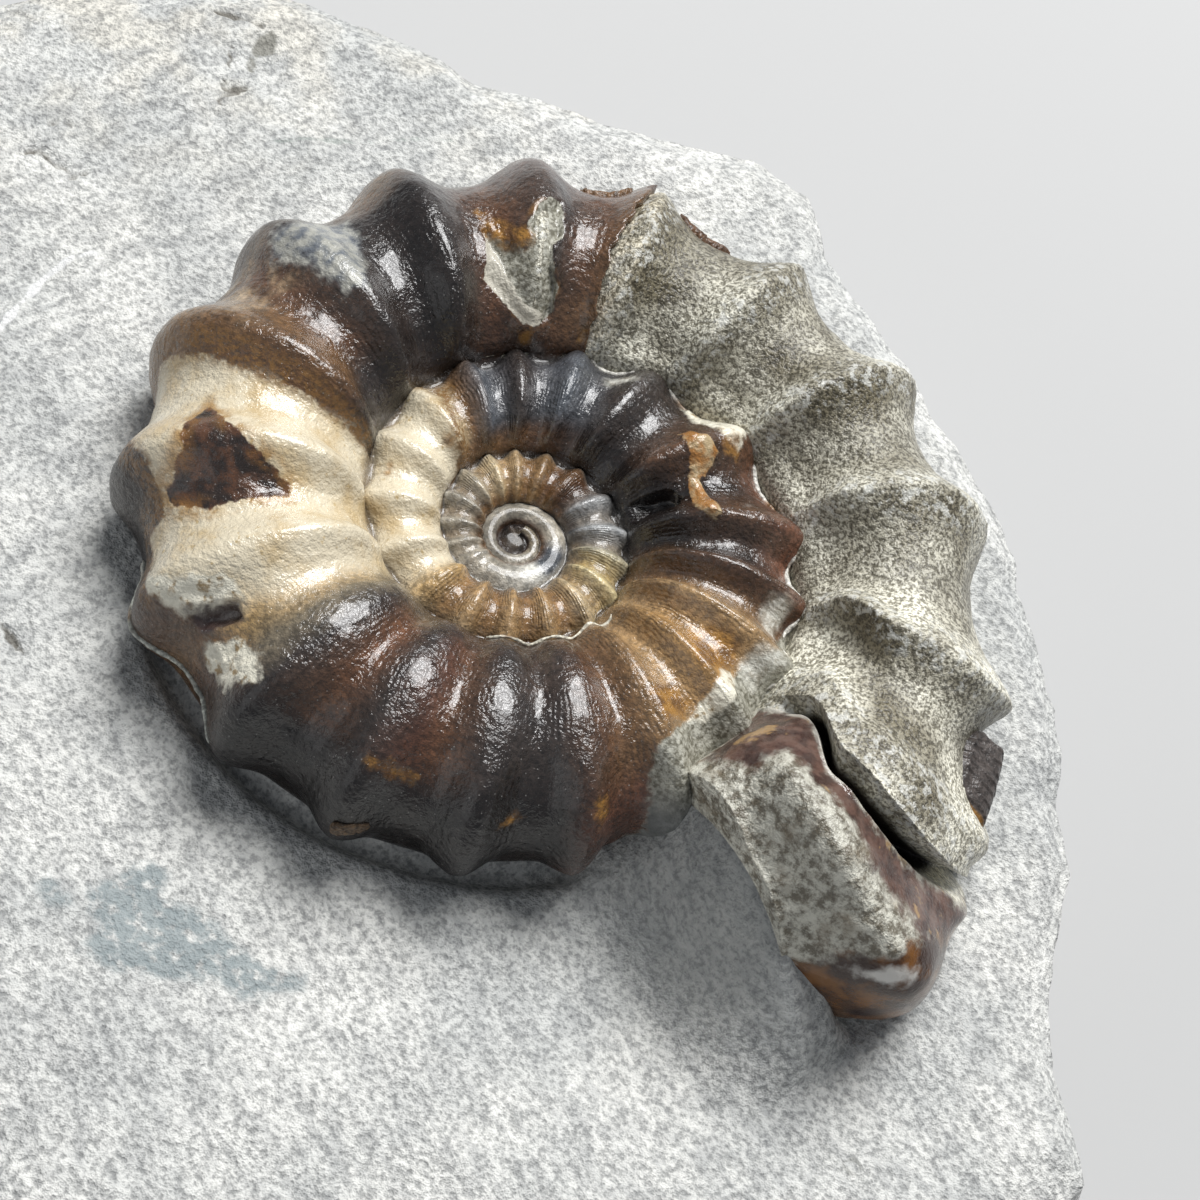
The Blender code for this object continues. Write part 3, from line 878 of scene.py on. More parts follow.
def build_flake(name, turns, angles, thick, share, colour, steps):
    """A thin broken plate of shell that lies on the coil."""
    ends = (np.linspace(-1, 1, FLAKE_ROWS), np.linspace(-1, 1, FLAKE_COLUMNS))
    u, v = np.meshgrid(*ends, indexing="ij")
    seed = sum(map(ord, name))
    around = np.stack([u * 2.2, v * 2.2, np.zeros_like(u)], axis=-1)
    grow = 1 + 0.11 * rough_noise(around, 1.2, 3, seed)
    # The grid is pressed towards a disc, so the plate has no square corners
    turn = np.mean(turns) + u * np.sqrt(1 - 0.32 * v ** 2) * grow * (turns[1] - turns[0]) / 2
    angle = np.mean(angles) + v * np.sqrt(1 - 0.32 * u ** 2) * grow * (angles[1] - angles[0]) / 2
    leaning = turn
    for _ in range(4):
        leaning = turn + lean_back(leaning, angle)
    base = surface_relief(leaning, angle) * share - 0.25 * (1 - share)
    edge = smooth((1 - np.maximum(np.abs(u), np.abs(v))) / 0.16)
    foot = ramp(v, -1, -0.3) * (1 - share) + share
    step = 0.12 * np.mod((u + 1) / 2 * steps + 0.3 * noise(around, seed + 9), 1.0)
    top = base + thick * foot * (0.45 + 0.55 * edge) - 0.5 * (1 - foot) + step
    top = top + 0.10 * rough_noise(around, 0.6, 3, seed + 3)
    low = base - 1.0 - 1.2 * (1 - share)
    points = [coil_point(turn.ravel(), angle.ravel(), stand.ravel()) for stand in (top, low)]
    count = FLAKE_ROWS * FLAKE_COLUMNS
    grid = np.arange(count).reshape(u.shape)
    faces = quads(grid) + quads(grid[::-1] + count)
    border = [*grid[0], *grid[1:, -1], *grid[-1, -2::-1], *grid[-2:0:-1, 0]]
    for near, far in zip(border, border[1:] + border[:1]):
        faces.append([near, far, far + count, near + count])
    tint = np.array(colour) * (1 + 0.6 * rough_noise(around.reshape(-1, 3), 0.7, 3, seed)[:, None])
    if name == "venter_fragment":
        tint = mix(tint, AMBER_END, ramp(u.ravel(), 0.80, 0.90))
    attributes = {"tint": colour_attribute(np.maximum(np.tile(tint, (2, 1)), 0.005))}
    make_piece(name, np.concatenate(points), faces, attributes, flake_material(name))


def build_thread(name, turns, angle, stand, width, colour, uneven):
    """An uneven closed thread of crust along the coil."""
    turn = np.linspace(*turns, THREAD_RINGS)
    middle = coil_point(turn, angle, shell_relief(turn, angle) + stand)
    ahead = np.gradient(middle, axis=0)
    ahead /= np.linalg.norm(ahead, axis=1)[:, None]
    side = np.cross(ahead, (0, 0, 1.0))
    side /= np.linalg.norm(side, axis=1)[:, None]
    rise = np.cross(side, ahead)
    rings = np.arange(THREAD_RINGS)
    taper = 0.25 + 0.75 * smooth(np.minimum(rings, rings[::-1]) / 12)
    points = []
    for turned in TAU * np.arange(THREAD_SIDES) / THREAD_SIDES:
        outwards = side * math.cos(turned) + rise * math.sin(turned)
        size = width * taper * (1 + uneven * rough_noise(middle + 0.2 * outwards, 0.9, 3, 111))
        points.append(middle + np.maximum(size, 0.05)[:, None] * outwards)
    points = np.stack(points, axis=1).reshape(-1, 3)
    grid = ring_grid(len(points), THREAD_SIDES)
    faces = quads(grid.T) + [grid[0, :-1], grid[-1, -2::-1]]
    tint = np.array(colour) * (1 + 0.35 * rough_noise(points, 1.3, 3, 113))[:, None]
    tint = mix(tint, THREAD_BROWN, smooth(rough_noise(points, 2.6, 2, 115) * 2 - 0.35))
    attributes = {"tint": colour_attribute(np.maximum(tint, 0.01))}
    make_piece(name, points, faces, attributes, flake_material(name))


# The slab

ROCK_BEARINGS = 640
RING_SHARES = np.concatenate([np.linspace(0.1, 0.34, 6), np.linspace(0.345, 0.992, 94)])
RIM_SHARE = RING_SHARES[-1]
SIDE_RINGS = 44
UPPER_FACE_MM = ROCK_LEVEL_MM - 4
FAR_MM = 6
BLUE_STAINS = ([
    (-13.8, -34.1), (-12.1, -31.7), (-11.0, -30.8), (-9.8, -30.8), (-9.4, -32.3), (-6.9, -32.4),
    (-4.4, -33.1), (-1.7, -33.4), (0.7, -32.9), (1.1, -33.8), (-1.8, -35.7), (-4.1, -36.0),
    (-7.5, -37.5), (-9.9, -37.9), (-12.0, -37.7), (-12.2, -36.0),
], [(-16.5, -34.9), (-15.6, -34.7), (-14.1, -35.4), (-15.1, -36.2), (-16.1, -35.9)])
FOSSIL_FRAGMENT = [
    (-35.6, 30.8), (-35.9, 33.5), (-35.2, 34.9), (-34.5, 34.5), (-34.2, 32.9), (-35.0, 31.8),
    (-34.5, 30.9), (-34.8, 29.6),
]
CRINOID_RING = (37.3, -28.3, 0.55)
# Lines in the rock: how much each sways, and its course
ROCK_LINES = {
    "crack": (1.0, (
        [(-45.0, 14.2), (-44.0, 14.9), (-42.9, 14.5), (-42.0, 14.5), (-41.1, 14.0), (-40.5, 15.4)],
        [(-44.7, 17.4), (-44.3, 17.9), (-43.5, 18.2)],
        [(-37.1, 31.5), (-36.3, 29.3), (-35.7, 27.2), (-35.4, 26.1)],
        [(-35.5, 27.0), (-34.5, 28.7)],
        [(-39.6, 33.9), (-36.2, 34.6)],
        [(-27.7, -20.3), (-25.1, -21.7)],
    )),
    "vein": (0.8, ([
        (-39.4, -3.0), (-39.0, -0.3), (-38.8, 2.5), (-38.6, 5.1), (-38.2, 6.9), (-37.6, 8.3),
        (-36.7, 9.1),
    ],)),
    "green": (0.6, ([(-30.3, 25.4), (-27.6, 27.5), (-24.3, 29.5), (-21.2, 31.9), (-18.5, 33.5)],)),
    "bank_vein": (0.6, ([(26.7, -14.1), (27.6, -15.6), (29.3, -17.1)],)),
}


def rim_radius(bearings):
    """Rim of the slab, in straight breaks between the measured bearings."""
    degrees = [degree for degree, _ in RIM]
    radii = [radius for _, radius in RIM]
    degrees = [degrees[-1] - 360] + degrees + [degrees[0] + 360]
    return np.interp(bearings, degrees, radii[-1:] + radii + radii[:1])


def heading_turn(x, y):
    """Turns from the coil's heading to a place on the slab, clockwise."""
    return (HEADING_DEG - np.degrees(np.arctan2(y, x))) / 360


def rock_level(x, y, share):
    """Height of the slab's upper face."""
    place = np.stack([x, y, np.zeros_like(x)], axis=-1)
    level = ROCK_LEVEL_MM + 0.55 * rough_noise(place, 21, 2, 81) + 0.22 * rough_noise(place, 7, 2, 83)
    level += 1.2 * ramp(np.hypot(x, y), 30, 60) * smooth((y - x) / 60)
    for middle_x, middle_y, spread, height in SWELLS_MM:
        level += height * np.exp(-((x - middle_x) ** 2 + (y - middle_y) ** 2) / (2 * spread ** 2))
    level -= 1.5 * ramp(share, 0.9, 1.0) ** 2
    level -= 0.16 * np.abs(rough_noise(place, 9, 4, 85)) * ramp(x, -22, -32)
    return bank_level(x, y, level - groove_depth(x, y))


def groove_depth(x, y):
    """Depth of the narrow gap that runs round the shell's lower side."""
    turn = heading_turn(x, y)
    turn = turn - np.floor(turn - (COIL_END - 1))
    outside = np.hypot(x, y) - venter(turn) * 0.962
    return 1.7 * ramp(turn, 2.215, 2.235) * ramp(turn, 2.50, 2.45) * np.exp(-(outside / 0.8) ** 2)


def bank_level(x, y, level):
    """Adds the bank, which falls from the mouth to the slab in a hollow curve."""
    crest, height, spread, reach = BANK_MM
    radius = np.hypot(x, y)
    turn = heading_turn(x, y)
    ahead = (turn - np.floor(turn)) - (COIL_END - math.floor(COIL_END))
    top = height - ((radius - crest) / spread) ** 2
    away = np.clip(ahead * TAU * radius / reach, 0.0, 1.0)
    return level + np.maximum(top - level, 0) * ramp(ahead, -0.022, -0.010) * (1 - away) ** 1.7


def build_rock(material):
    """The slab: a fine uneven upper face, broken sides and a flat underside."""
    bearings = np.arange(ROCK_BEARINGS) * 360 / ROCK_BEARINGS - 180
    facing = np.stack([np.cos(np.radians(bearings)), np.sin(np.radians(bearings))], axis=-1)
    plain_rim = rim_radius(bearings)
    spots = np.concatenate([facing * 8, np.zeros((ROCK_BEARINGS, 1))], axis=-1)
    rim = plain_rim + 0.7 * rough_noise(spots, 1.0, 4, 95)
    rings = []
    for share in RING_SHARES:
        x, y = rim * share * facing.T
        level = rock_level(x, y, share)
        marks = rock_marks(x, y)
        level = level - 0.45 * ramp(marks["crack"], 0.45, 0) - 0.22 * smooth(marks["fragment"] / 0.4)
        level = level + 0.16 * ramp(marks["vein"], 0.35, 0.05) + 0.14 * ramp(marks["ring"], 0.3, 0.05)
        place = np.stack([x, y, level], axis=-1)
        level = level + 0.14 * rough_noise(place, 3.2, 3, 91) + 0.07 * rough_noise(place, 0.9, 2, 93)
        rings.append(np.stack([x, y, level], axis=-1))
    top_edge = rings[-1][:, 2]
    for share in np.linspace(0.0, 1.0, SIDE_RINGS)[1:]:
        height = top_edge + (ROCK_BASE_MM - top_edge) * share
        place = np.concatenate([facing * 50, height[:, None]], axis=-1)
        bulge = 0.8 * math.sin(math.pi * min(share * 1.4, 1.0)) - 1.9 * share ** 2
        rough = 1.5 * rough_noise(place, 11, 2, 97) + 0.9 * np.abs(rough_noise(place, 4.5, 4, 99)) - 0.2
        ragged = smooth(share * 6)
        radius = (rim + (plain_rim - rim) * ragged) * RIM_SHARE + bulge + rough * ragged
        rings.append(np.concatenate([facing * radius[:, None], height[:, None]], axis=-1))
    points = np.concatenate(rings + [np.array([[0, 0, ROCK_LEVEL_MM]])])
    grid = ring_grid(len(points) - 1, ROCK_BEARINGS)
    faces = quads(grid)
    faces += [(len(points) - 1, near, far) for near, far in zip(grid[0], grid[0, 1:])]
    faces.append(grid[-1, :-1])
    make_piece("rock_slab", points, faces, rock_attributes(points), material, "matrix_rock")


def rock_marks(x, y):
    """Distances to the rock's small marks, in mm; inside an outline they are positive."""
    place = np.stack([x, y, np.zeros_like(x)], axis=-1)
    sway = 0.35 * rough_noise(place, 1.6, 3, 101)
    ring_x, ring_y, ring_radius = CRINOID_RING
    marks = {
        "stain": np.maximum.reduce([outline_depth(x, y, outline) for outline in BLUE_STAINS]),
        "fragment": outline_depth(x, y, FOSSIL_FRAGMENT) + 0.5 * sway,
        "ring": np.abs(np.hypot(x - ring_x, y - ring_y) - ring_radius),
    }
    for name, (swaying, lines) in ROCK_LINES.items():
        marks[name] = np.minimum.reduce([line_distance(x, y, line) for line in lines]) + swaying * sway
    return marks


def rock_attributes(points):
    """What the rock's material needs to know at each point."""
    x, y, z = points.T
    attributes = {}
    for name, values in rock_marks(x, y).items():
        nowhere = -FAR_MM if name in ("stain", "fragment") else FAR_MM
        attributes[name] = np.where(z > UPPER_FACE_MM, np.clip(values, -FAR_MM, FAR_MM), nowhere)
    attributes["shade"] = np.maximum(1 - np.hypot((x - 22.5) / 8.5, (y + 18.5) / 7.5), -1)
    attributes["depth"] = np.clip((ROCK_LEVEL_MM - 3 - z) / 4, 0, 1)
    attributes["swing"] = smooth((x * 0.75 - y * 0.66 + 14) / 22)
    attributes["beige"] = smooth((y * 0.7 - x * 0.5 - 22) / 26)
    return attributes


# Materials

FINEST_PER_MM = 12.0
ROUGHNESS = 0.55
# Sockets of the colour mixing node
MIX_SHARE, MIX_FIRST, MIX_SECOND, MIX_RESULT = 0, 6, 7, 2


class Nodes:
    """Short ways to add shader nodes to one material."""

    def __init__(self, name):
        self.material = bpy.data.materials.new(name)
        self.material.use_nodes = True
        self.tree = self.material.node_tree
        self.shader = self.tree.nodes["Principled BSDF"]
        self.place = self.add("ShaderNodeTexCoord").outputs["Object"]

    def add(self, kind, **settings):
        """Adds a node with some of its settings."""
        node = self.tree.nodes.new(kind)
        for name, value in settings.items():
            setattr(node, name, value)
        return node

    def join(self, source, socket):
        """Links an output, or sets a plain number or colour."""
        if isinstance(source, bpy.types.NodeSocket):
            self.tree.links.new(source, socket)
        elif isinstance(source, tuple):
            socket.default_value = (*source, 1)
        else:
            socket.default_value = source

    def value(self, name):
        """A number that the mesh carries."""
        return self.add("ShaderNodeAttribute", attribute_name=name).outputs["Fac"]

    def colour(self, name):
        """A colour that the mesh carries."""
        return self.add("ShaderNodeAttribute", attribute_name=name).outputs["Color"]

    def maths(self, operation, *values):
        """One sum of numbers and outputs."""
        node = self.add("ShaderNodeMath", operation=operation)
        for value, socket in zip(values, node.inputs):
            self.join(value, socket)
        return node.outputs[0]

    def times(self, first, second):
        """First times second."""
        return self.maths("MULTIPLY", first, second)

    def noise(self, per_mm, detail=3.0, roughness=ROUGHNESS, place=None):
        """Noise from 0 to 1 with per_mm waves in a millimetre, and none finer than can be seen."""
        node = self.add("ShaderNodeTexNoise")
        self.join(place or self.place, node.inputs["Vector"])
        node.inputs["Scale"].default_value = per_mm / MM
        node.inputs["Detail"].default_value = min(detail, math.log2(FINEST_PER_MM / per_mm))
        node.inputs["Roughness"].default_value = roughness
        return node.outputs[0]

    def span(self, value, low, high, start=0.0, end=1.0):
        """Maps low..high to start..end, smoothly and clamped."""
        node = self.add("ShaderNodeMapRange", interpolation_type="SMOOTHSTEP")
        names = ("Value", "From Min", "From Max", "To Min", "To Max")
        for name, number in zip(names, (value, low, high, start, end)):
            self.join(number, node.inputs[name])
        return node.outputs[0]

    def patches(self, low, high, per_mm, detail=3.0, roughness=ROUGHNESS):
        """1 where noise is above high, and 0 where it is below low."""
        return self.span(self.noise(per_mm, detail, roughness), low, high)

    def blend(self, share, first, second, kind="MIX"):
        """Goes from the first colour to the second where share is 1."""
        node = self.add("ShaderNodeMix", data_type="RGBA", blend_type=kind)
        self.join(share, node.inputs[MIX_SHARE])
        self.join(first, node.inputs[MIX_FIRST])
        self.join(second, node.inputs[MIX_SECOND])
        return node.outputs[MIX_RESULT]

    def mottle(self, first, second, *pattern):
        """Two colours in patches of noise."""
        return self.blend(self.patches(*pattern), first, second)

    def specks(self, per_mm):
        """Distance from the nearest of scattered points, per_mm of them in a millimetre."""
        node = self.add("ShaderNodeTexVoronoi")
        self.join(self.place, node.inputs["Vector"])
        node.inputs["Scale"].default_value = per_mm / MM
        return node.outputs["Distance"]

    def lay(self, colour, share, strength, over):
        """Lays a colour over another where share is 1, as strongly as strength says."""
        if strength != 1:
            share = self.times(share, strength)
        return self.blend(share, colour, over)

    def toned(self, colour, factors):
        """Colour times factors."""
        return self.blend(1.0, colour, factors, "MULTIPLY")

    def ragged(self, name, per_mm, reach, soft):
        """1 inside a mark, with an edge made ragged by noise; reach and soft are in mm."""
        shift = self.maths("MULTIPLY_ADD", self.noise(per_mm, 4.0), 2 * reach, -reach)
        return self.span(self.maths("ADD", self.value(name), shift), -soft, soft)

    def finish(self, colour, roughness, height, bump_mm):
        """Sets the shader's main sockets and gives the material."""
        bump = self.add("ShaderNodeBump")
        bump.inputs["Strength"].default_value = 1.0
        bump.inputs["Distance"].default_value = bump_mm * MM
        self.join(height, bump.inputs["Height"])
        self.join(bump.outputs[0], self.shader.inputs["Normal"])
        self.join(colour, self.shader.inputs["Base Color"])
        self.join(roughness, self.shader.inputs["Roughness"])
        return self.material


CHALK = ((0.34, 0.24, 0.12), (0.84, 0.80, 0.66), 0.32, 0.48, 1.1, 5.0)
# Marks laid over the shell in this order: how ragged the edge is (waves in a mm, reach and softness
# in mm), strength, and a colour, or two colours with the noise between them (low, high, waves in a
# mm, detail, roughness)
LAID_MARKS = {
    "white_break": ((0.9, 1.1, 0.5), 0.85, (
        (0.15, 0.17, 0.195), (0.46, 0.455, 0.40), 0.34, 0.66, 0.9, 6.0, 0.6,
    )),
    "chips": ((1.0, 0.9, 0.3), 1, CHALK),
    "cavity": ((1.2, 0.6, 0.25), 0.9, (0.055, 0.035, 0.036)),
    "calcite": ((1.2, 0.7, 0.45), 0.85, ((0.36, 0.33, 0.27), (0.66, 0.65, 0.58), 0.35, 0.6, 1.8, 5.0)),
    "white_shell": ((1.1, 0.5, 0.2), 1, CHALK),
    "shard": ((1.4, 0.3, 0.08), 1, ((0.36, 0.165, 0.045), (0.46, 0.35, 0.20), 0.42, 0.60, 0.7, 4.0)),
    "amber": ((1.2, 0.7, 0.35), 0.85, ((0.13, 0.060, 0.018), (0.38, 0.19, 0.04), 0.38, 0.62, 1.1, 4.0)),
}
# Small marks of the rock: the distances where each starts and is full, strength and colour
PAINTED_MARKS = {
    "bank_vein": (0.45, 0.15, 0.55, (0.06, 0.075, 0.10)),
    "crack": (0.34, 0.05, 0.85, (0.115, 0.105, 0.085)),
    "fragment": (-0.1, 0.25, 0.8, (0.20, 0.195, 0.165)),
    "vein": (0.30, 0.12, 0.8, (0.80, 0.80, 0.79)),
    "green": (0.22, 0.05, 0.5, (0.30, 0.34, 0.31)),
    "ring": (0.22, 0.08, 0.55, (0.22, 0.22, 0.20)),
}
GROWTH_LINES_PER_RIB = 15


def lay_cream(n, colour):
    """The cream part of the shell, with brown speckles along its crisp edges."""
    depth = n.value("cream")
    blur = n.value("blur")
    shift = n.maths("MULTIPLY_ADD", n.noise(1.1, 5.0), 1.0, -0.5)
    paint = n.mottle((0.71, 0.63, 0.47), (0.57, 0.44, 0.25), 0.44, 0.70, 0.30, 5.0)
    paint = n.mottle(paint, (0.52, 0.40, 0.22), 0.60, 0.74, 1.7, 6.0)
    colour = n.blend(n.span(n.maths("ADD", depth, shift), n.times(blur, -1.0), blur), colour, paint)
    rim = n.span(n.maths("ABSOLUTE", n.maths("ADD", depth, 0.55)), 1.3, 0.3)
    speckle = n.maths("MULTIPLY_ADD", n.patches(0.42, 0.56, 1.9, 5.0, 0.7), 0.7, 0.2)
    rim = n.times(n.times(rim, n.span(blur, 0.5, 0.2)), speckle)
    return n.blend(rim, colour, (0.20, 0.105, 0.034))


def lay_brown(n, colour):
    """The brown patch in the cream, with amber inside and outside its edge."""
    depth = n.maths("ADD", n.value("brown"), n.maths("MULTIPLY_ADD", n.noise(1.6, 4.0), 0.7, -0.35))
    outside = n.times(n.span(depth, -1.1, -0.1), n.patches(0.38, 0.55, 0.55, 4.0))
    colour = n.lay(colour, outside, 0.85, (0.36, 0.205, 0.065))
    paint = n.mottle((0.024, 0.016, 0.013), (0.105, 0.048, 0.026), 0.40, 0.64, 0.8, 5.0)
    inside = n.times(n.span(depth, 1.1, 0.1), n.patches(0.44, 0.58, 0.45, 4.0))
    paint = n.lay(paint, inside, 0.8, (0.22, 0.105, 0.030))
    return n.blend(n.span(depth, -0.07, 0.1), colour, paint)


def lay_matrix(n, colour, rough):
    """Rock in the pit and over the shell beside the mouth, where rough is 1. On the low side this rock
    takes the bank's dark grey: painted shade.
    """
    rim = n.times(n.span(n.value("pit"), -0.55, -0.1), n.patches(0.50, 0.64, 0.4))
    colour = n.lay(colour, rim, 0.7, (0.26, 0.13, 0.04))
    matrix = n.mottle((0.135, 0.125, 0.088), (0.44, 0.43, 0.36), 0.34, 0.66, 2.8, 6.0, 0.6)
    matrix = n.blend(n.ragged("ledge", 1.6, 0.5, 0.15), matrix, (0.50, 0.47, 0.39))
    # Painted shade: the rock over the shell's low side is painted the dark grey that the shaded bank
    # has.
    bank = n.mottle((0.13, 0.135, 0.13), (0.22, 0.225, 0.215), 0.35, 0.65, 0.9, 5.0)
    matrix = n.blend(n.times(n.ragged("cover", 1.2, 0.5, 0.15), n.value("low_side")), matrix, bank)
    return n.blend(rough, colour, matrix)


def shell_material():
    """Glossy brown to cream calcite with growth lines, speckles and rough broken places."""
    n = Nodes("shell_calcite")
    fine = n.mottle((0.66, 0.66, 0.66), (1.36, 1.33, 1.3), 0.3, 0.7, 2.4, 6.0, 0.62)
    colour = lay_brown(n, lay_cream(n, n.toned(n.colour("tint"), fine)))
    dull = n.maths("MAXIMUM", n.ragged("pit", 1.4, 0.3, 0.06), n.ragged("cover", 1.2, 0.5, 0.15))
    colour = lay_matrix(n, colour, dull)
    for name, (edge, strength, paint) in LAID_MARKS.items():
        mark = n.ragged(name, *edge)
        colour = n.lay(colour, mark, strength, n.mottle(*paint) if len(paint) > 3 else paint)
        if name in CRUSTS:
            dull = n.maths("MAXIMUM", dull, mark)
    # Painted shade darkens the shell deep between the turns.
    colour = n.lay(colour, n.value("crevice_shade"), 0.85, n.toned(colour, (0.16, 0.13, 0.11)))
    colour = n.lay(colour, n.span(n.specks(1.9), 0.12, 0.06), 0.35, (0.55, 0.53, 0.50))
    gloss = n.span(n.noise(0.9, 4.0), 0.3, 0.7, 0.17, 0.34)
    roughness = n.maths("MAXIMUM", gloss, n.times(dull, 0.60))
    sway = n.times(n.noise(0.6), 14.0)
    growth = n.maths("MULTIPLY_ADD", n.value("growth"), TAU * GROWTH_LINES_PER_RIB, sway)
    lines = n.times(n.maths("SINE", growth), n.patches(0.42, 0.66, 0.5, 2.0))
    lines = n.times(lines, n.span(n.value("cream"), -0.2, 0.2, 0.09, 0.02))
    low_side = n.value("low_side")
    n.join(n.maths("MULTIPLY_ADD", low_side, -0.42, 0.5), n.shader.inputs["Coat Weight"])
    n.shader.inputs["Coat Roughness"].default_value = 0.11
    n.shader.inputs["IOR"].default_value = 1.56
    return n.finish(colour, roughness, n.maths("ADD", lines, n.noise(2.1, 4.0, 0.66)), 0.19)


def filling_material():
    """Olive grey rock with pale crystals, and the shell strip and amber lobe of the mouth."""
    n = Nodes("filling_rock")
    ridge = n.value("ridge")
    grain = n.noise(3.4, 3.0, 0.75)
    tones = n.blend(n.span(grain, 0.38, 0.63), (0.46, 0.44, 0.38), (1.9, 1.9, 1.86))
    colour = n.toned(n.colour("tint"), tones)
    crystal = n.times(n.patches(0.50, 0.62, 1.3, 6.0, 0.7), n.span(n.value("crest"), 0.08, 0.8))
    colour = n.lay(colour, crystal, 0.7, (0.70, 0.70, 0.65))
    face = n.mottle((0.150, 0.132, 0.096), (0.60, 0.585, 0.50), 0.36, 0.62, 1.2, 7.0, 0.74)
    face = n.lay(face, n.patches(0.52, 0.72, 0.35, 5.0), 0.55, (0.15, 0.105, 0.055))
    colour = n.blend(n.span(ridge, 0.0, 0.5), colour, face)
    strip = n.ragged("strip", 0.8, 1.2, 0.5)
    paint = n.mottle((0.045, 0.020, 0.016), (0.125, 0.068, 0.052), 0.38, 0.64, 0.9, 6.0)
    paint = n.mottle(paint, (0.34, 0.21, 0.09), 0.60, 0.68, 0.5, 5.0)
    colour = n.lay(colour, strip, 0.95, paint)
    # Painted shade: deep places near the slot are painted near black.
    slot_shade = n.times(n.span(n.value("relief"), -1.1, -2.2), n.span(ridge, 1.2, 0.6))
    colour = n.blend(slot_shade, colour, (0.020, 0.016, 0.012))
    lobe = n.ragged("lobe", 0.8, 0.9, 0.35)
    paint = n.mottle((0.036, 0.015, 0.008), (0.200, 0.082, 0.018), 0.40, 0.64, 0.35, 4.0)
    colour = n.blend(lobe, colour, paint)
    # The lobe's white spot: partly a pale patch and partly a painted highlight.
    colour = n.lay(colour, n.ragged("pale_spot_and_highlight", 0.9, 0.9, 0.4), 0.9, (0.74, 0.72, 0.67))
    edge = n.times(n.span(ridge, 0.9, 0.3), n.span(ridge, -0.1, 0.2))
    edge = n.times(n.times(edge, n.patches(0.40, 0.55, 0.7, 5.0)), n.value("upper_end"))
    colour = n.blend(edge, colour, (0.60, 0.57, 0.50))
    roughness = n.span(n.maths("MAXIMUM", strip, lobe), 0.0, 1.0, 0.38, 0.18)
    smoother = n.span(n.maths("MAXIMUM", n.value("strip"), n.value("lobe")), -0.4, 0.3, 1.0, 0.25)
    height = n.times(n.maths("ADD", n.noise(1.1, 3.0, 0.6), n.times(grain, 0.9)), smoother)
    n.shader.inputs["IOR"].default_value = 1.55
    return n.finish(colour, roughness, height, 0.20)


def flake_material(name):
    """Broken shell in its own tint, half glossy."""
    n = Nodes(name)
    grain = n.mottle((0.6, 0.6, 0.6), (1.4, 1.4, 1.4), 0.34, 0.66, 3.5, 5.0, 0.65)
    return n.finish(n.toned(n.colour("tint"), grain), 0.38, n.noise(4.5, 5.0, 0.65), 0.08)


def streaks(n, degrees, per_mm):
    """Noise drawn out along one direction of the slab's face."""
    mapping = n.add("ShaderNodeMapping", vector_type="TEXTURE")
    n.join(n.place, mapping.inputs["Vector"])
    mapping.inputs["Rotation"].default_value = (0, 0, math.radians(degrees))
    mapping.inputs["Scale"].default_value = (2.6, 1.0, 1.0)
    return n.noise(per_mm, 5.0, 0.62, mapping.outputs[0])


def rock_material():
    """Pale grey fine-grained rock, streaked by the preparator's tool, with a blue-grey stain."""
    n = Nodes("matrix_rock_surface")
    colour = n.mottle((0.50, 0.505, 0.495), (0.66, 0.655, 0.63), 0.36, 0.66, 0.07, 6.0, 0.62)
    beige = n.times(n.value("beige"), n.patches(0.42, 0.62, 0.16, 5.0))
    colour = n.lay(colour, beige, 0.6, (0.66, 0.62, 0.54))
    streak = n.blend(n.value("swing"), streaks(n, 57, 0.95), streaks(n, -35, 1.15))
    fine = n.noise(2.0, 4.0, 0.74)
    tones = n.blend(n.span(streak, 0.34, 0.62), (0.80, 0.805, 0.81), (1.08, 1.08, 1.07))
    colour = n.toned(colour, tones)
    tones = n.blend(n.span(fine, 0.33, 0.60), (0.60, 0.605, 0.61), (1.16, 1.16, 1.15))
    colour = n.toned(colour, tones)
    stain = n.times(n.ragged("stain", 0.55, 1.1, 0.5), n.patches(0.30, 0.52, 1.1, 5.0))
    colour = n.lay(colour, stain, 0.82, (0.25, 0.295, 0.305))
    shade = n.span(n.maths("ADD", n.value("shade"), n.times(n.noise(0.3, 5.0), 0.6)), 0.1, 0.9)
    colour = n.lay(colour, shade, 0.50, (0.22, 0.23, 0.225))
    for name, (start, full, strength, paint) in PAINTED_MARKS.items():
        colour = n.lay(colour, n.span(n.value(name), start, full), strength, paint)
    side = n.times(n.value("depth"), n.patches(0.40, 0.62, 0.22, 6.0, 0.65))
    colour = n.lay(colour, side, 0.55, (0.43, 0.40, 0.345))
    return n.finish(colour, 0.86, fine, 0.34)


# Floor, light and camera

# Name, direction to the right, up and towards the camera, distance and size in m, energy
LIGHTS = (
    ("window_light", (0.55, 1.0, 0.55), 0.80, (0.56, 0.46), 9.7),
    ("fill_light", (-0.8, -0.3, 0.9), 0.9, (0.7, 0.7), 0.7),
)
FLOOR_COLOUR = (0.50, 0.50, 0.495, 1)
FLOOR_M = 6.0
SKY_COLOUR = (0.86, 0.91, 1.0, 1)
SKY_STRENGTH = 0.22


def camera_axes():
    """Right, up and forward of the rolled camera."""
    elevation = math.radians(CAMERA_ELEVATION_DEG)
    roll = math.radians(CAMERA_ROLL_DEG)
    forward = Vector((0, math.cos(elevation), -math.sin(elevation)))
    level_right = Vector((1, 0, 0))
    level_up = level_right.cross(forward)
    right = level_right * math.cos(roll) + level_up * math.sin(roll)
    up = level_up * math.cos(roll) - level_right * math.sin(roll)
    return right, up, forward


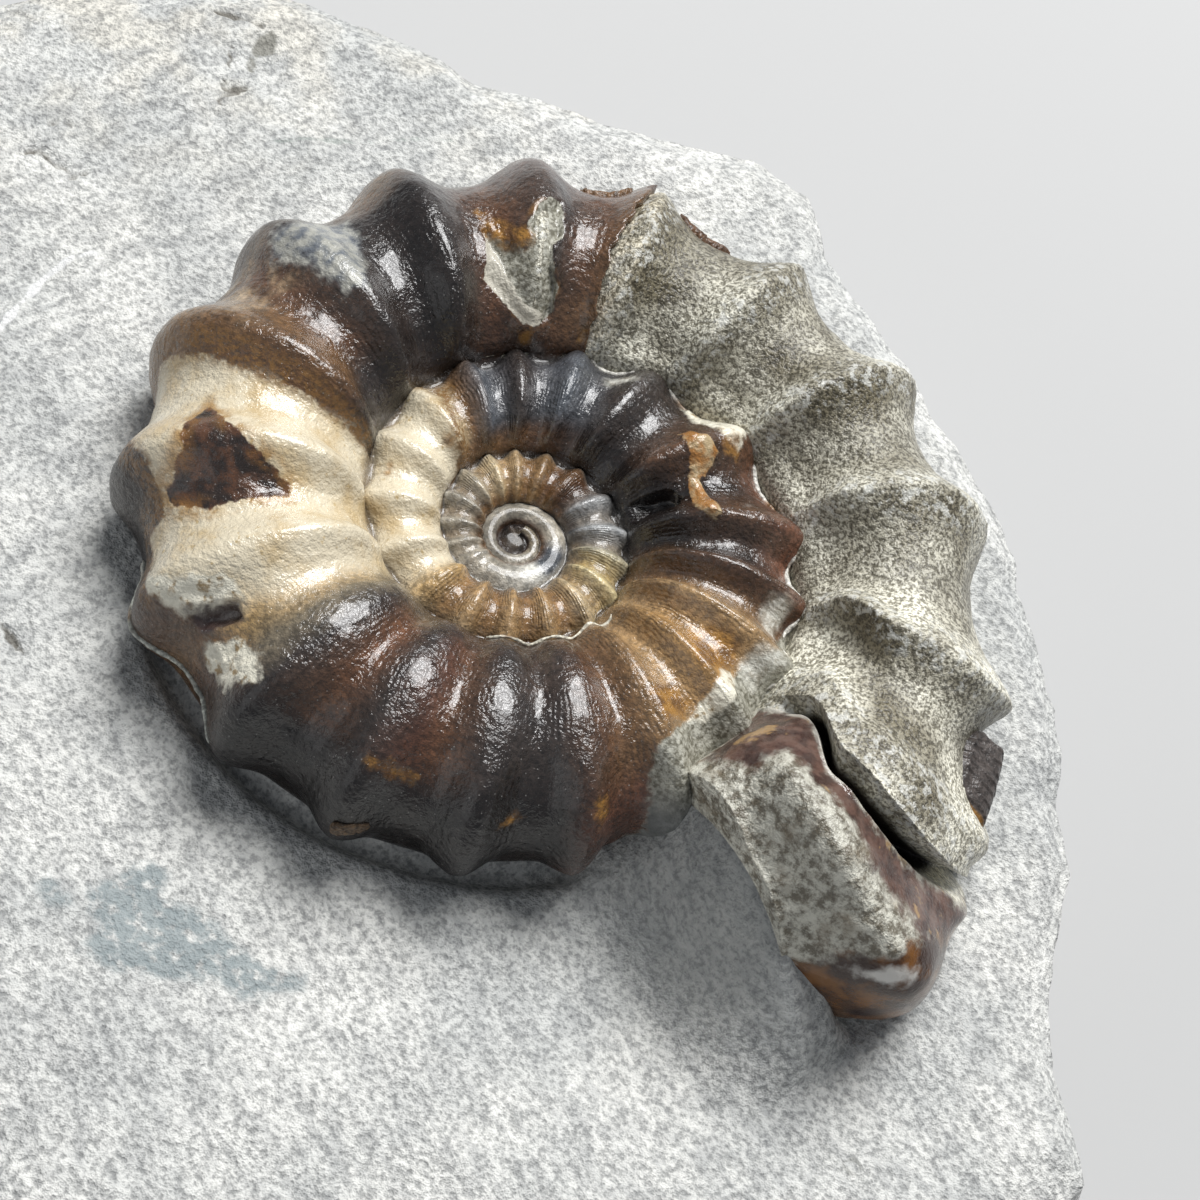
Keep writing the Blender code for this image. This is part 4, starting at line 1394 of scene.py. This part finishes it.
def add_camera(target):
    """The photograph's camera, which looks at the target."""
    right, up, forward = camera_axes()
    camera = bpy.data.cameras.new("photo_camera")
    camera.angle = math.radians(CAMERA_VIEW_DEG)
    camera.clip_start = 0.01
    camera.clip_end = 20
    holder = bpy.data.objects.new("photo_camera", camera)
    bpy.context.scene.collection.objects.link(holder)
    place = Matrix.Translation(target - forward * CAMERA_DISTANCE_MM * MM)
    holder.matrix_world = place @ Matrix((right, up, -forward)).transposed().to_4x4()
    bpy.context.scene.camera = holder


def add_light(name, target, direction, distance, size, energy):
    """A soft oval lamp that faces the target from one direction."""
    light = bpy.data.lights.new(name, "AREA")
    light.shape = "ELLIPSE"
    light.size, light.size_y = size
    light.energy = energy
    holder = bpy.data.objects.new(name, light)
    holder.location = target + direction.normalized() * distance
    holder.rotation_euler = direction.to_track_quat("Z", "Y").to_euler()
    bpy.context.scene.collection.objects.link(holder)


def add_stage(target):
    """Pale floor, the lights and a faint sky."""
    bpy.ops.mesh.primitive_plane_add(size=FLOOR_M, location=(0, 0, 0))
    floor = bpy.context.object
    floor.name = "floor"
    n = Nodes("floor_paper")
    n.shader.inputs["Base Color"].default_value = FLOOR_COLOUR
    n.shader.inputs["Roughness"].default_value = 0.9
    floor.data.materials.append(n.material)
    right, up, forward = camera_axes()
    for name, (to_right, to_top, to_camera), distance, size, energy in LIGHTS:
        direction = right * to_right + up * to_top - forward * to_camera
        add_light(name, target, direction, distance, size, energy)
    world = bpy.data.worlds.new("studio")
    bpy.context.scene.world = world
    world.use_nodes = True
    world.node_tree.nodes["Background"].inputs["Color"].default_value = SKY_COLOUR
    world.node_tree.nodes["Background"].inputs["Strength"].default_value = SKY_STRENGTH
    bpy.context.scene.view_settings.view_transform = "Standard"


def main():
    """All pieces, then the camera and the stage."""
    build_shell(shell_material())
    build_filling(filling_material())
    for flake in FLAKES:
        build_flake(*flake)
    for thread in THREADS:
        build_thread(*thread)
    build_rock(rock_material())
    target = (Vector(CAMERA_TARGET_MM) + Vector(COIL_MIDDLE_MM)) * MM
    add_camera(target)
    add_stage(target)


main()
